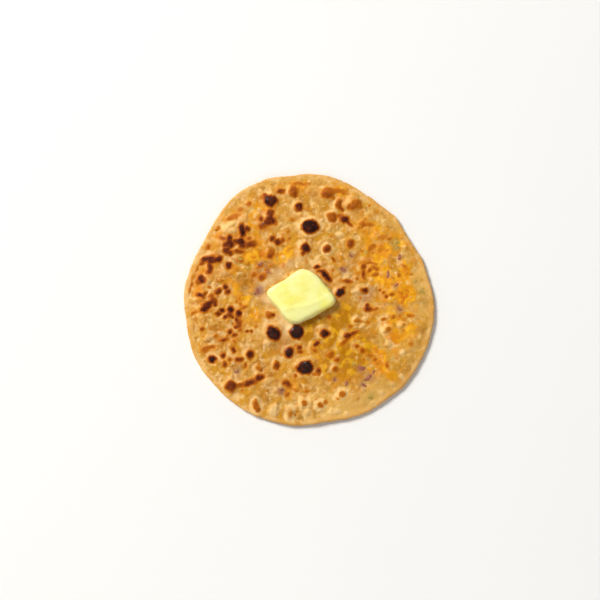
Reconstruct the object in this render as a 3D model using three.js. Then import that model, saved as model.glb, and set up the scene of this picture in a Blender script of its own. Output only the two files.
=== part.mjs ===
// A stuffed paratha with a softened pat of butter on it.
//
// The flatbread is one hand-rolled disc of dough: flat underneath, a little thicker where the
// filling lies than at its pinched rim, and gently lumpy on top. The butter is a second piece,
// a square pat with slumped sides that sits a hair above the bread.
//
// Millimetres, +Z up. The origin is the middle of the footprint, on the surface it rests on.

import * as THREE from 'three';

// ---- Driving dimensions ----

const BREAD_RADIUS = 92.6; // the round that the uneven edge departs from
const EDGE_THICKNESS = 3.4; // dough only, pinched shut
const BODY_THICKNESS = 6.2; // dough and filling
const BUTTER_HEIGHT = 8.4;
const BUTTER_GAP = 0.3; // air between the two solids

// The edge bows in where the dough was rolled short, and out at its soft corners.
// at and wide are degrees anticlockwise from +X, by is a share of the radius.
const EDGE_LOBES = [
  { at: 20, wide: 5, by: 0.016 },
  { at: 28, wide: 25, by: -0.08 },
  { at: 61, wide: 16, by: -0.042 },
  { at: 43, wide: 4, by: 0.01 },
  { at: 97, wide: 5, by: -0.012 },
  { at: 108, wide: 4, by: 0.009 },
  { at: 119, wide: 12, by: 0.013 },
  { at: 151, wide: 15, by: -0.052 },
  { at: 168, wide: 7, by: -0.014 },
  { at: 189, wide: 10, by: -0.02 },
  { at: 211, wide: 8, by: 0.012 },
  { at: 240, wide: 13, by: 0.011 },
  { at: 280, wide: 11, by: -0.022 },
  { at: 308, wide: 5, by: -0.009 },
  { at: 314, wide: 13, by: 0.008 },
];

// Broad swells left by the rolling pin and the griddle. across is the direction that the
// crests face, in degrees.
const SWELLS = [
  { across: 20, wavelength: 74, height: 0.28, phase: 0.4 },
  { across: 95, wavelength: 58, height: 0.22, phase: 2.1 },
  { across: 150, wavelength: 39, height: 0.16, phase: 4.0 },
];

// The filling shows as soft lumps, spread evenly by the golden angle.
const LUMP_COUNT = 46;
const LUMP_RADIUS = { least: 5.5, most: 11 };
const LUMP_HEIGHT = { least: 0.25, most: 0.75 };
const LUMP_SPREAD = 0.88; // share of the radius that holds filling

// Air blisters with a firm domed top. Each is a place on the bread and a size.
const BLISTERS = [
  { x: 0.5, y: 52.5, radius: 7.5, height: 0.8 },
  { x: -26.5, y: -24.8, radius: 6.5, height: 0.7 },
  { x: -9.6, y: -23.4, radius: 7, height: 0.8 },
  { x: -2.3, y: -48.9, radius: 7.5, height: 0.9 },
  { x: -57, y: -63.5, radius: 6.5, height: 0.7 },
  { x: 32.7, y: 69.3, radius: 7, height: 0.7 },
  { x: 13, y: 77.4, radius: 6.5, height: 0.6 },
];

// Rim and skirt, all measured inwards from the edge.
const RIM_ROUNDING = 1.7; // the quarter-round at the very edge
const RIM_SLOPE = 15; // over this the dough climbs to its full thickness
const RIM_MIDDLE = 0.45; // share of the edge's thickness that lies below its outermost line
const LIFT_WIDTH = 9; // the rim stands clear of the table by the lift below
const LIFT = { mean: 0.5, sway: 0.32, turns: 3, phase: 0.9 };

// The pat's four corners, before rounding, and how far back along its sides each is rounded.
const BUTTER_CORNERS = [
  { x: -32.8, y: 3.9, cut: 6 },
  { x: -12.2, y: -21.4, cut: 9 },
  { x: 21.6, y: -3.3, cut: 7 },
  { x: -2, y: 26.2, cut: 17 },
];

// The pat's side, from its foot to its flat top: how far in from the outline, and how high
// as a share of the pat's height.
const BUTTER_SIDE = [
  { inset: 0.3, rise: 0 },
  { inset: 0, rise: 0.13 },
  { inset: 0.15, rise: 0.38 },
  { inset: 0.45, rise: 0.66 },
  { inset: 0.95, rise: 0.84 },
  { inset: 1.9, rise: 0.95 },
  { inset: 3.6, rise: 1 },
];
const BUTTER_SAG = { depth: 0.35, across: 60, wavelength: 31 }; // a faint hollow on the top

// ---- How finely the skins are cut ----

const BREAD_SPOKES = 108;
const RIM_STEPS = 4;
const TOP_RINGS = 18;
const UNDERSIDE_RINGS = 4;
const BUTTER_SPOKES = 44;
const BUTTER_TOP_RINGS = 4;

// ---- Small helpers ----

const radians = THREE.MathUtils.degToRad;
const mix = THREE.MathUtils.lerp;
const smooth = THREE.MathUtils.smoothstep; // (value, from, to)

const turnBetween = (a, b) => Math.abs(THREE.MathUtils.euclideanModulo(a - b + 180, 360) - 180);

const bell = (distance, width) => Math.exp(-((distance / width) ** 2));

function range(count) {
  return Array.from({ length: count }, (_, i) => i);
}

// ---- The bread's surfaces ----

function edgeRadius(angle) {
  const degrees = THREE.MathUtils.radToDeg(angle);
  const lobes = EDGE_LOBES.map((lobe) => lobe.by * bell(turnBetween(degrees, lobe.at), lobe.wide));
  return BREAD_RADIUS * lobes.reduce((sum, lobe) => sum + lobe, 1);
}

// Lumps sit on a sunflower spiral; their sizes follow the same irrational step, so no two match.
function fillingLumps() {
  const goldenAngle = Math.PI * (3 - Math.sqrt(5));
  return range(LUMP_COUNT).map((i) => {
    const reach = LUMP_SPREAD * BREAD_RADIUS * Math.sqrt((i + 0.5) / LUMP_COUNT);
    const share = (i * 0.6180339887) % 1;
    return {
      x: reach * Math.cos(i * goldenAngle),
      y: reach * Math.sin(i * goldenAngle),
      radius: mix(LUMP_RADIUS.least, LUMP_RADIUS.most, share),
      height: mix(LUMP_HEIGHT.least, LUMP_HEIGHT.most, (share * 7) % 1),
    };
  });
}

const lumps = fillingLumps();

function swellHeight(x, y) {
  const waves = SWELLS.map(({ across, wavelength, height, phase }) => {
    const along = x * Math.cos(radians(across)) + y * Math.sin(radians(across));
    return height * Math.sin((2 * Math.PI * along) / wavelength + phase);
  });
  return waves.reduce((sum, wave) => sum + wave, 0);
}

function bumpHeight(x, y) {
  const bumps = [...lumps, ...BLISTERS];
  return bumps.reduce(
    (sum, bump) => sum + bump.height * bell(Math.hypot(x - bump.x, y - bump.y), bump.radius),
    0,
  );
}

// Everything below takes a spoke's angle and the distance in from the edge along it.

function thicknessAt(inwards) {
  const climb = smooth(inwards, 0, RIM_SLOPE);
  const full = mix(EDGE_THICKNESS, BODY_THICKNESS, climb);
  if (inwards >= RIM_ROUNDING) return full;
  return full * Math.sqrt(1 - (1 - inwards / RIM_ROUNDING) ** 2);
}

function undersideHeight(angle, inwards) {
  const lift = LIFT.mean + LIFT.sway * Math.sin(LIFT.turns * angle + LIFT.phase);
  const lifted = lift * (1 - smooth(inwards, 0, LIFT_WIDTH));
  const rounding = Math.max(0, EDGE_THICKNESS - thicknessAt(inwards));
  return lifted + (inwards < RIM_ROUNDING ? rounding * RIM_MIDDLE : 0);
}

function topHeight(angle, inwards) {
  const reach = edgeRadius(angle) - inwards;
  const x = reach * Math.cos(angle);
  const y = reach * Math.sin(angle);
  const relief = (swellHeight(x, y) + bumpHeight(x, y)) * smooth(inwards, 0, RIM_SLOPE);
  return undersideHeight(angle, inwards) + thicknessAt(inwards) + relief;
}

function topHeightAt(x, y) {
  const angle = Math.atan2(y, x);
  return topHeight(angle, edgeRadius(angle) - Math.hypot(x, y));
}

// ---- Skins ----

// A closed skin: a fan at the first centre, bands from ring to ring, and a fan at the last.
// The rings run anticlockwise seen from above, and go out underneath and back in on top.
function skinThroughRings(firstCentre, rings, lastCentre) {
  const points = [firstCentre, ...rings.flat(), lastCentre];
  const spokes = rings[0].length;
  const at = (ring, spoke) => 1 + ring * spokes + (spoke % spokes);
  const faces = [];
  for (const spoke of range(spokes)) {
    faces.push(0, at(0, spoke + 1), at(0, spoke));
    for (const ring of range(rings.length - 1)) {
      faces.push(at(ring, spoke), at(ring, spoke + 1), at(ring + 1, spoke + 1));
      faces.push(at(ring, spoke), at(ring + 1, spoke + 1), at(ring + 1, spoke));
    }
    faces.push(points.length - 1, at(rings.length - 1, spoke), at(rings.length - 1, spoke + 1));
  }
  const geometry = new THREE.BufferGeometry().setFromPoints(points);
  geometry.setIndex(faces);
  geometry.computeVertexNormals();
  return geometry;
}

// Depths in from the edge for one face of the bread: close together round the rim, then even.
function ringDepths(ringCount) {
  const rounded = range(RIM_STEPS).map(
    (i) => RIM_ROUNDING * (1 - Math.cos((Math.PI / 2) * ((i + 1) / RIM_STEPS))),
  );
  const shares = range(ringCount).map((i) => (i + 1) / (ringCount + 1));
  return { rounded, shares };
}

function breadRing(heightAt, depthAt) {
  return range(BREAD_SPOKES).map((spoke) => {
    const angle = (2 * Math.PI * spoke) / BREAD_SPOKES;
    const inwards = depthAt(edgeRadius(angle));
    const reach = edgeRadius(angle) - inwards;
    return new THREE.Vector3(
      reach * Math.cos(angle),
      reach * Math.sin(angle),
      heightAt(angle, inwards),
    );
  });
}

// The rings of one face, from its edge inwards.
function breadFace(heightAt, ringCount) {
  const { rounded, shares } = ringDepths(ringCount);
  const nearEdge = rounded.map((depth) => breadRing(heightAt, () => depth));
  const inside = shares.map((share) => breadRing(
    heightAt,
    (radius) => mix(RIM_ROUNDING, radius, share),
  ));
  return [...nearEdge, ...inside];
}

function paratha() {
  const underside = breadFace(undersideHeight, UNDERSIDE_RINGS).reverse();
  const edge = breadRing(undersideHeight, () => 0);
  const top = breadFace(topHeight, TOP_RINGS);
  const geometry = skinThroughRings(
    new THREE.Vector3(0, 0, 0),
    [...underside, edge, ...top],
    new THREE.Vector3(0, 0, topHeightAt(0, 0)),
  );
  const bakedDough = new THREE.MeshStandardMaterial({ color: 0xd9a55c, roughness: 0.62, metalness: 0 });
  const mesh = new THREE.Mesh(geometry, bakedDough);
  mesh.name = 'paratha';
  return mesh;
}

// ---- The butter ----

function butterOutline() {
  const corners = BUTTER_CORNERS.map(({ x, y, cut }) => ({ point: new THREE.Vector2(x, y), cut }));
  const outline = new THREE.Path();
  corners.forEach((corner, i) => {
    const before = corners[(i + corners.length - 1) % corners.length].point;
    const after = corners[(i + 1) % corners.length].point;
    const start = corner.point.clone().add(before.clone().sub(corner.point).setLength(corner.cut));
    const end = corner.point.clone().add(after.clone().sub(corner.point).setLength(corner.cut));
    if (i === 0) outline.moveTo(start.x, start.y);
    else outline.lineTo(start.x, start.y);
    outline.quadraticCurveTo(corner.point.x, corner.point.y, end.x, end.y);
  });
  outline.closePath();
  return outline.getSpacedPoints(BUTTER_SPOKES).slice(0, BUTTER_SPOKES);
}

function butterPat() {
  const outline = butterOutline();
  const centre = outline
    .reduce((sum, point) => sum.add(point), new THREE.Vector2())
    .divideScalar(outline.length);

  const seat = (x, y) => topHeightAt(x, y) + BUTTER_GAP;
  const table = seat(centre.x, centre.y);
  const sagAt = (x, y) => {
    const along = x * Math.cos(radians(BUTTER_SAG.across)) + y * Math.sin(radians(BUTTER_SAG.across));
    return BUTTER_SAG.depth * Math.sin((2 * Math.PI * along) / BUTTER_SAG.wavelength);
  };
  // A height of 0 lies on the bread's own relief, and a height of 1 on the pat's level top.
  const lifted = (x, y, rise) => mix(seat(x, y), table + BUTTER_HEIGHT - sagAt(x, y), rise);

  const ring = (placeOf, rise) => outline.map((point) => {
    const place = placeOf(point);
    return new THREE.Vector3(place.x, place.y, lifted(place.x, place.y, rise));
  });
  const shrunk = (share) => (point) => centre.clone().lerp(point, share);
  const insetBy = (inset) => (point) => {
    const length = point.distanceTo(centre);
    return centre.clone().lerp(point, 1 - inset / length);
  };

  const foot = BUTTER_SIDE[0];
  const shoulder = BUTTER_SIDE[BUTTER_SIDE.length - 1];
  const flatRadius = Math.min(...outline.map((point) => point.distanceTo(centre)));
  const inwardShares = (edge) => range(BUTTER_TOP_RINGS)
    .map((i) => (1 - edge.inset / flatRadius) * (1 - (i + 1) / (BUTTER_TOP_RINGS + 1)));

  const seatRings = inwardShares(foot).reverse().map((share) => ring(shrunk(share), 0));
  const sideRings = BUTTER_SIDE.map(({ inset, rise }) => ring(insetBy(inset), rise));
  const topRings = inwardShares(shoulder).map((share) => ring(shrunk(share), 1));

  const geometry = skinThroughRings(
    new THREE.Vector3(centre.x, centre.y, lifted(centre.x, centre.y, 0)),
    [...seatRings, ...sideRings, ...topRings],
    new THREE.Vector3(centre.x, centre.y, lifted(centre.x, centre.y, 1)),
  );
  const softButter = new THREE.MeshStandardMaterial({ color: 0xfaf08c, roughness: 0.35, metalness: 0 });
  const mesh = new THREE.Mesh(geometry, softButter);
  mesh.name = 'butter_pat';
  return mesh;
}

// ---- Assembly ----

// The bread's uneven outline isn't centred on the point its radii start from, so the group
// moves to put the middle of the footprint at the origin.
function centredOnFootprint(meshes) {
  const group = new THREE.Group();
  group.add(...meshes);
  const footprint = new THREE.Box3().setFromObject(group);
  const middle = footprint.getCenter(new THREE.Vector3());
  group.position.set(-middle.x, -middle.y, -footprint.min.z);
  return group;
}

const butteredParatha = centredOnFootprint([paratha(), butterPat()]);

export default butteredParatha;
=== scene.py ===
# %% [markdown]
# # A buttered paratha
# A paratha is a ball of wholemeal dough, filled, rolled flat and fried on an iron griddle. Its
# shape is simple, and nearly all of its character is in the crust: pale raised blisters with
# scorched tops, stains of turmeric, and a wet patch where butter melts.
# The packed part gives the true size and the plain lumpy round. It could be given a material and
# left at that, but its facets would show. So this lesson lays a much finer crust over it, then
# paints that crust through masks that are worked out point by point. Shapes are written in
# millimetres, and turned into metres when a mesh is made.

import math

import bpy
import numpy as np
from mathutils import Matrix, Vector


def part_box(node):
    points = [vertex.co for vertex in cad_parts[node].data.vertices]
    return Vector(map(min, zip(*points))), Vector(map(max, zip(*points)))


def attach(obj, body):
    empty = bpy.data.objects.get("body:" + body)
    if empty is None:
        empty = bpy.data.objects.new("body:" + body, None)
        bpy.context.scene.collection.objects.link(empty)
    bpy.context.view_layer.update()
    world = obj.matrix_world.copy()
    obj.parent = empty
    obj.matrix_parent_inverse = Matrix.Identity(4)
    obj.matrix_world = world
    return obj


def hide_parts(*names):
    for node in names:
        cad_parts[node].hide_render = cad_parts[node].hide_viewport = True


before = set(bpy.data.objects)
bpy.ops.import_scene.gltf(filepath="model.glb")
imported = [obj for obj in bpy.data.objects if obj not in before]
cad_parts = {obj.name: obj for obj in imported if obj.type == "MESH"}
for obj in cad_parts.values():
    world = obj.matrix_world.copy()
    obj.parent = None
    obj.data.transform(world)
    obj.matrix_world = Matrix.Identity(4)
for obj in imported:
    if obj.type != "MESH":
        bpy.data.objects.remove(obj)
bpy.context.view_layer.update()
MM = 0.001

# %% [markdown]
# ## Helpers for uneven things
# Dough is never regular, so most numbers below are nudged by noise. A few helpers do it: an
# S-shaped step, a bell, a blend, and gradient noise in one or more layers. Blender's own noise
# exists only inside materials and modifiers, so the noise is written out here with numpy, where
# the mesh and the paint can share it. A seed picks the pattern, so each run gives the same bread.


# %% Steps, bells and noise
def smooth(value, start, stop):
    """0 at start, 1 at stop, and an even S between. Start may be the larger of the two."""
    share = np.clip((value - start) / (stop - start), 0, 1)
    return share * share * (3 - 2 * share)


def bell(distance, width):
    """1 where distance is 0, fading to about a third at one width."""
    return np.exp(-((distance / width) ** 2))


def mix(a, b, share):
    """a where share is 0, b where share is 1."""
    return a + (b - a) * share


NOISE_TABLE = 256  # the pattern repeats after this many bumps
NOISE_GAIN = 1.5  # stretches the noise to about -1 to 1


def ruffle(x, y, size, seed):
    """Gradient noise, about -1 to 1, whose bumps are roughly size across."""
    turns = np.random.default_rng(seed).uniform(0, 2 * np.pi, (NOISE_TABLE, NOISE_TABLE))
    column, row = np.floor(x / size), np.floor(y / size)
    across, along = x / size - column, y / size - row
    column, row = column.astype(int), row.astype(int)

    def pull(right, up):
        turn = turns[(column + right) % NOISE_TABLE, (row + up) % NOISE_TABLE]
        return np.cos(turn) * (across - right) + np.sin(turn) * (along - up)

    blend_x, blend_y = smooth(across, 0, 1), smooth(along, 0, 1)
    below = mix(pull(0, 0), pull(1, 0), blend_x)
    above = mix(pull(0, 1), pull(1, 1), blend_x)
    return NOISE_GAIN * mix(below, above, blend_y)


def ruffles(x, y, layers):
    """Noise in layers, each with its own size, height and seed."""
    return sum(height * ruffle(x, y, size, seed) for size, height, seed in layers)


sample_line = np.arange(0, 90, 0.7)
sample = ruffle(*np.meshgrid(sample_line, sample_line), size=5, seed=1)
print("noise runs from %.2f to %.2f" % (sample.min(), sample.max()))

# %% [markdown]
# ## The plain round
# The disc is hand rolled: it bows in on two sides, is thickest over the filling, and thins to a
# pinched rim that stands a hair clear of the table. These are the same formulas that shaped the
# packed part, so the fine crust follows it everywhere. A heavy subdivision of the packed mesh
# would follow it too, but would keep its facets and give no say over where points fall.

# %% The outline
BREAD_RADIUS = 92.6
EDGE_LOBES = [  # degrees anticlockwise from +X, width in degrees, share of the radius
    (20, 5, 0.016), (28, 25, -0.08), (61, 16, -0.042), (43, 4, 0.01), (97, 5, -0.012),
    (108, 4, 0.009), (119, 12, 0.013), (151, 15, -0.052), (168, 7, -0.014), (189, 10, -0.02),
    (211, 8, 0.012), (240, 13, 0.011), (280, 11, -0.022), (308, 5, -0.009), (314, 13, 0.008),
]


def edge_radius(angle):
    """The outline's distance from the centre of the spokes."""
    degrees = np.degrees(angle)
    radius = np.ones_like(degrees)
    for at, wide, by in EDGE_LOBES:
        between = np.abs((degrees - at + 180) % 360 - 180)
        radius = radius + by * bell(between, wide)
    return BREAD_RADIUS * radius


PACKED_SPOKES = 108
spokes = np.linspace(0, 2 * np.pi, PACKED_SPOKES, endpoint=False)
outline_x = edge_radius(spokes) * np.cos(spokes)
outline_y = edge_radius(spokes) * np.sin(spokes)
MIDDLE_X = (outline_x.min() + outline_x.max()) / 2
MIDDLE_Y = (outline_y.min() + outline_y.max()) / 2
bread_low, bread_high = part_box("paratha")
print("outline %.1f mm wide, packed %.1f" % (np.ptp(outline_x), (bread_high.x - bread_low.x) / MM))
print("the spokes' centre lies %.2f, %.2f mm from the footprint's" % (-MIDDLE_X, -MIDDLE_Y))

# %% Swells and lumps of filling
SWELLS = [  # direction in degrees, wavelength, height and phase of each broad swell
    (20, 74, 0.28, 0.4), (95, 58, 0.22, 2.1), (150, 39, 0.16, 4.0),
]
LUMP_COUNT, LUMP_SPREAD, GOLDEN_STEP = 46, 0.88, 0.6180339887
LUMP_RADII, LUMP_HEIGHTS = (5.5, 11), (0.25, 0.75)
HEIGHT_SHUFFLE = 7  # keeps the heights from following the radii
BLISTERS = [  # x, y, radius, height
    (0.5, 52.5, 7.5, 0.8), (-26.5, -24.8, 6.5, 0.7), (-9.6, -23.4, 7, 0.8),
    (-2.3, -48.9, 7.5, 0.9), (-57, -63.5, 6.5, 0.7), (32.7, 69.3, 7, 0.7), (13, 77.4, 6.5, 0.6),
]


def filling_lumps():
    """The lumps of filling, spread evenly like seeds in a sunflower: x, y, radius, height."""
    golden_angle = math.pi * (3 - math.sqrt(5))
    for i in range(LUMP_COUNT):
        reach = LUMP_SPREAD * BREAD_RADIUS * math.sqrt((i + 0.5) / LUMP_COUNT)
        share = (i * GOLDEN_STEP) % 1
        x, y = reach * math.cos(i * golden_angle), reach * math.sin(i * golden_angle)
        height = mix(*LUMP_HEIGHTS, (share * HEIGHT_SHUFFLE) % 1)
        yield x, y, mix(*LUMP_RADII, share), height


def body_relief(x, y):
    """The swells, lumps and largest blisters of the packed part added up."""
    height = np.zeros_like(x)
    for across, wavelength, swell, phase in SWELLS:
        along = x * math.cos(math.radians(across)) + y * math.sin(math.radians(across))
        height += swell * np.sin(2 * np.pi * along / wavelength + phase)
    for lump_x, lump_y, radius, lump in [*filling_lumps(), *BLISTERS]:
        height += lump * bell(np.hypot(x - lump_x, y - lump_y), radius)
    return height


lumps = list(filling_lumps())
print(len(lumps), "lumps, the tallest %.2f mm" % max(lump[3] for lump in lumps))

# %% The plain thickness
EDGE_THICKNESS, BODY_THICKNESS = 3.4, 6.2
RIM_ROUNDING, RIM_SLOPE = 1.7, 15  # mm from the edge: its round corner, and its slope
RIM_MIDDLE = 0.45  # where the edge's curve has its middle, as a share of its height
LIFT_WIDTH, LIFT_MEAN, LIFT_SWAY, LIFT_TURNS, LIFT_PHASE = 9, 0.5, 0.32, 3, 0.9


def thickness_at(inwards):
    """How thick the bread is at some mm from the edge."""
    full = mix(EDGE_THICKNESS, BODY_THICKNESS, smooth(inwards, 0, RIM_SLOPE))
    rounding = np.clip(1 - inwards / RIM_ROUNDING, 0, 1)
    return full * np.sqrt(1 - rounding**2)


def underside_height(angle, inwards):
    """The underside lifts off the table towards the edge, more in some places than others."""
    lift = LIFT_MEAN + LIFT_SWAY * np.sin(LIFT_TURNS * angle + LIFT_PHASE)
    lifted = lift * (1 - smooth(inwards, 0, LIFT_WIDTH))
    rounding = np.maximum(0, EDGE_THICKNESS - thickness_at(inwards))
    return lifted + np.where(inwards < RIM_ROUNDING, rounding * RIM_MIDDLE, 0)


def plain_top(x, y):
    """The height of the packed part's top."""
    angle = np.arctan2(y, x)
    inwards = edge_radius(angle) - np.hypot(x, y)
    relief = body_relief(x, y) * smooth(inwards, 0, RIM_SLOPE)
    return underside_height(angle, inwards) + thickness_at(inwards) + relief


print("thickness in the middle: %.1f mm" % plain_top(np.zeros(1), np.zeros(1))[0])

# %% [markdown]
# ## What the griddle did
# Dough browns only where it touches the iron. Steam lifts the crust into blisters, and their
# tops meet the hot metal first, so each scorched spot sits on a bump and often has a pale
# ring of untouched dough round it. A noise texture could make spots too, but it would not know
# where the bumps are. So the large spots are listed one by one, and a few hundred pinpricks are
# scattered at random. One mask, the scorch, holds them all: 0 is raw, 1 is charred, and the
# material turns that one number into a whole range from gold to black, which gives every spot
# its soft brown fringe for nothing.

# %% Charred blisters
# Each row is x, y, half length, half width, turn in degrees, and how burnt the spot is.
CHARRED_BLISTERS = [
    (0.2, 52.3, 6.2, 5, 0, 1.0), (-28.5, 71.5, 4.5, 4, 0, 0.96), (-32.5, 75, 2.6, 1.8, 135, 0.72),
    (-26, -25.4, 5.3, 4.2, 125, 1.0), (-28.6, -22, 2.2, 1.6, 140, 0.7), (-9.6, -24.2, 5, 4.8, 60, 1.0),
    (-6.6, -21.2, 1.3, 0.9, 30, 0.5), (-2.6, -50, 5, 4.9, 0, 1.0), (-6.8, -51, 3, 2.4, 10, 0.95),
    (6, -52.5, 1.6, 2.4, 0, 0.75), (-15, -39, 3.8, 3.3, 60, 0.97), (-8, 67, 2.8, 2.8, 0, 0.86),
    (22, 4.5, 3.2, 2.6, 40, 1.0), (24.4, 7.4, 1.5, 1, 40, 0.64), (10.5, -25.5, 3.4, 2.9, 0, 0.94),
    (8.5, 19.5, 2.6, 1.3, 0, 0.9), (11.5, 16.5, 4, 2.2, 135, 0.95), (14, 14, 2, 1.6, 100, 0.72),
    (5.2, 23.2, 1.9, 1.6, 0, 0.92), (-3, 36.8, 3.3, 3, 90, 0.94), (-5, 33.2, 1.5, 1.3, 0, 0.75),
    (-57, -63.5, 4, 3.6, 30, 0.8), (-43, -40.5, 3.3, 2.6, 90, 0.86), (-70.5, -44, 3.1, 2.5, 0, 0.95),
    (12.8, 36.2, 2.7, 2.4, 0, 0.8), (-59, 24, 2.3, 2.1, 0, 0.93), (39.5, 6, 2.6, 1.9, 0, 0.9),
]
print(len(CHARRED_BLISTERS), "charred blisters")

# %% Spots in the upper left
UPPER_LEFT_BELT = [
    (-50, 52.5, 2.4, 2.2, 90, 0.84), (-49, 48.5, 2.3, 3.8, 10, 0.95), (-45.5, 51, 1.9, 1.7, 0, 0.82),
    (-58.3, 43.5, 2.1, 3, 0, 0.88), (-58.5, 39.5, 2.8, 2.6, 0, 0.85),
    (-62, 39.3, 1.7, 1.7, 0, 0.76), (-60.5, 34.8, 2.5, 2.8, 0, 0.85), (-57.5, 33.5, 2, 1.8, 0, 0.84),
    (-54, 42, 2.2, 1.5, 20, 0.75), (-50, 41.5, 3, 2.8, 0, 0.92), (-49.5, 38.6, 2.3, 1.8, 0, 0.85),
    (-43.5, 39.5, 5.2, 2.4, 8, 0.72), (-51.5, 34.5, 3.3, 1.6, 0, 0.72), (-44.5, 44, 1.5, 1.3, 0, 0.6),
    (-63.5, 44, 3, 1.5, -20, 0.66), (-28.5, 62.3, 2.6, 3, 0, 0.8), (-29, 57.2, 4, 3.2, 0, 0.86),
    (-25.5, 56, 1.8, 2.4, 0, 0.6), (-34, 53.2, 3.3, 2.3, 20, 0.6), (-36, 58.5, 1.8, 1.6, 0, 0.82),
    (-31.8, 56, 1.9, 1.9, 0, 0.85), (-27.5, 43.8, 2.2, 1.9, -20, 0.85), (-23.5, 41.3, 2.8, 2, -10, 0.82),
    (-19.8, 42.6, 1.4, 1.8, 0, 0.62), (-28, 33, 2, 3.2, 0, 0.55), (-29, 30.5, 1.8, 1.9, 0, 0.74),
    (-76.5, 28.8, 2.9, 2, 20, 0.82), (-71, 28.3, 4.3, 2.6, -10, 0.88), (-66, 29, 2.5, 2.4, 0, 0.85),
    (-72.5, 23, 1.8, 4.4, 10, 0.84), (-73, 19.8, 2.4, 2, 0, 0.8), (-79.5, 15.5, 2.2, 2, 0, 0.9),
    (-77.2, 13.3, 2.1, 1.9, 0, 0.85), (-80.3, 12.5, 2.6, 2.4, 30, 0.6), (-78.7, 26, 1.6, 1.3, 0, 0.7),
    (-40.5, 17.5, 1.8, 1.7, 0, 0.5), (-35, 15.5, 2.4, 2, 0, 0.66), (-50.5, 65.5, 1.7, 1.7, 0, 0.4),
    (-44.5, 69.5, 1.8, 1.6, 0, 0.5), (-74.5, 38, 2, 2.2, 0, 0.5), (-67.5, 51.5, 2.3, 1.9, 40, 0.35),
    (-58, 59.3, 3, 1.7, 25, 0.45), (-53.5, 60.5, 2.8, 1.6, 15, 0.42),
    (-36, 23.8, 2.2, 1.2, 30, 0.5), (-31.2, 21, 1.8, 1.1, -20, 0.5), (-32.6, 17.6, 1.6, 1.2, 0, 0.45),
    (-28.6, 24, 1.2, 0.9, 0, 0.4), (-50.5, 28.4, 2.2, 1.8, 0, 0.5), (-53, 22, 2.6, 1.4, 0, 0.2),
]
print(len(UPPER_LEFT_BELT), "spots in the upper left")

# %% Spots at the left
LEFT_BELT = [
    (-61.3, 8.6, 2, 1.6, -50, 0.92), (-59.6, 5, 1.5, 2.2, 20, 0.8), (-66.5, 5.3, 2.6, 1.7, 30, 0.85),
    (-79.3, 2.2, 3.2, 1.5, -25, 0.88), (-76, 3.3, 1.8, 1.2, 40, 0.7), (-71, 1.8, 1.9, 1.7, 0, 0.6),
    (-70, -1.8, 2.8, 2.6, 0, 0.72), (-68.5, -4.3, 1.5, 1.4, 0, 0.8), (-74.8, -6, 5, 2.9, 42, 0.86),
    (-77.3, -8, 1.7, 1.6, 0, 0.95), (-84, -10.4, 3.4, 1.1, 30, 0.42), (-66.5, -11, 1.9, 1.4, 0, 0.82),
    (-63.5, -8.6, 1.9, 1.6, 0, 0.9), (-57.3, -8.2, 2.4, 2.1, 0, 0.95), (-58.3, -12, 2.7, 2, 30, 0.7),
    (-56, -13.5, 1, 1, 0, 0.85), (-61.5, -13.3, 1.5, 1.3, 0, 0.85), (-51.5, -11, 2, 2.6, 0, 0.9),
    (-53, -15.5, 1.4, 1.5, 0, 0.82), (-51.5, -18.2, 1.9, 3.2, 0, 0.66), (-53.5, -20.6, 1.4, 1.2, 0, 0.8),
    (-50.3, -22.5, 1.3, 1.5, 0, 0.6), (-47.5, -6, 1.7, 1.4, 0, 0.42), (-78, -22, 1.8, 1.6, 0, 0.7),
    (-58, -24, 1.9, 1.5, 30, 0.8), (-54.5, -26.5, 1.7, 1.4, 0, 0.85), (-54.5, -31, 1.5, 1.2, 0, 0.5),
    (-68, -27.5, 1.8, 1.5, 0, 0.42), (-62, -29.8, 2.9, 1.2, 8, 0.78), (-42.5, -24, 1.2, 1, 0, 0.7),
    (-45.5, -24, 0.9, 0.9, 0, 0.8), (-29.5, -12, 2.6, 1.9, -20, 0.6), (-26.7, -12.3, 1.3, 1.1, 0, 0.8),
    (-85.5, 16, 1.1, 2.6, -10, 0.45), (-86, 10.5, 1.3, 1.8, 0, 0.5), (-87.5, 6.5, 1.1, 2.2, -10, 0.42),
    (-82.3, 22, 1.2, 2.4, -30, 0.4), (-73, 8, 1.5, 1.1, 0, 0.5), (-64, 13, 1.3, 1, 0, 0.4),
]
print(len(LEFT_BELT), "spots at the left")

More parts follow.
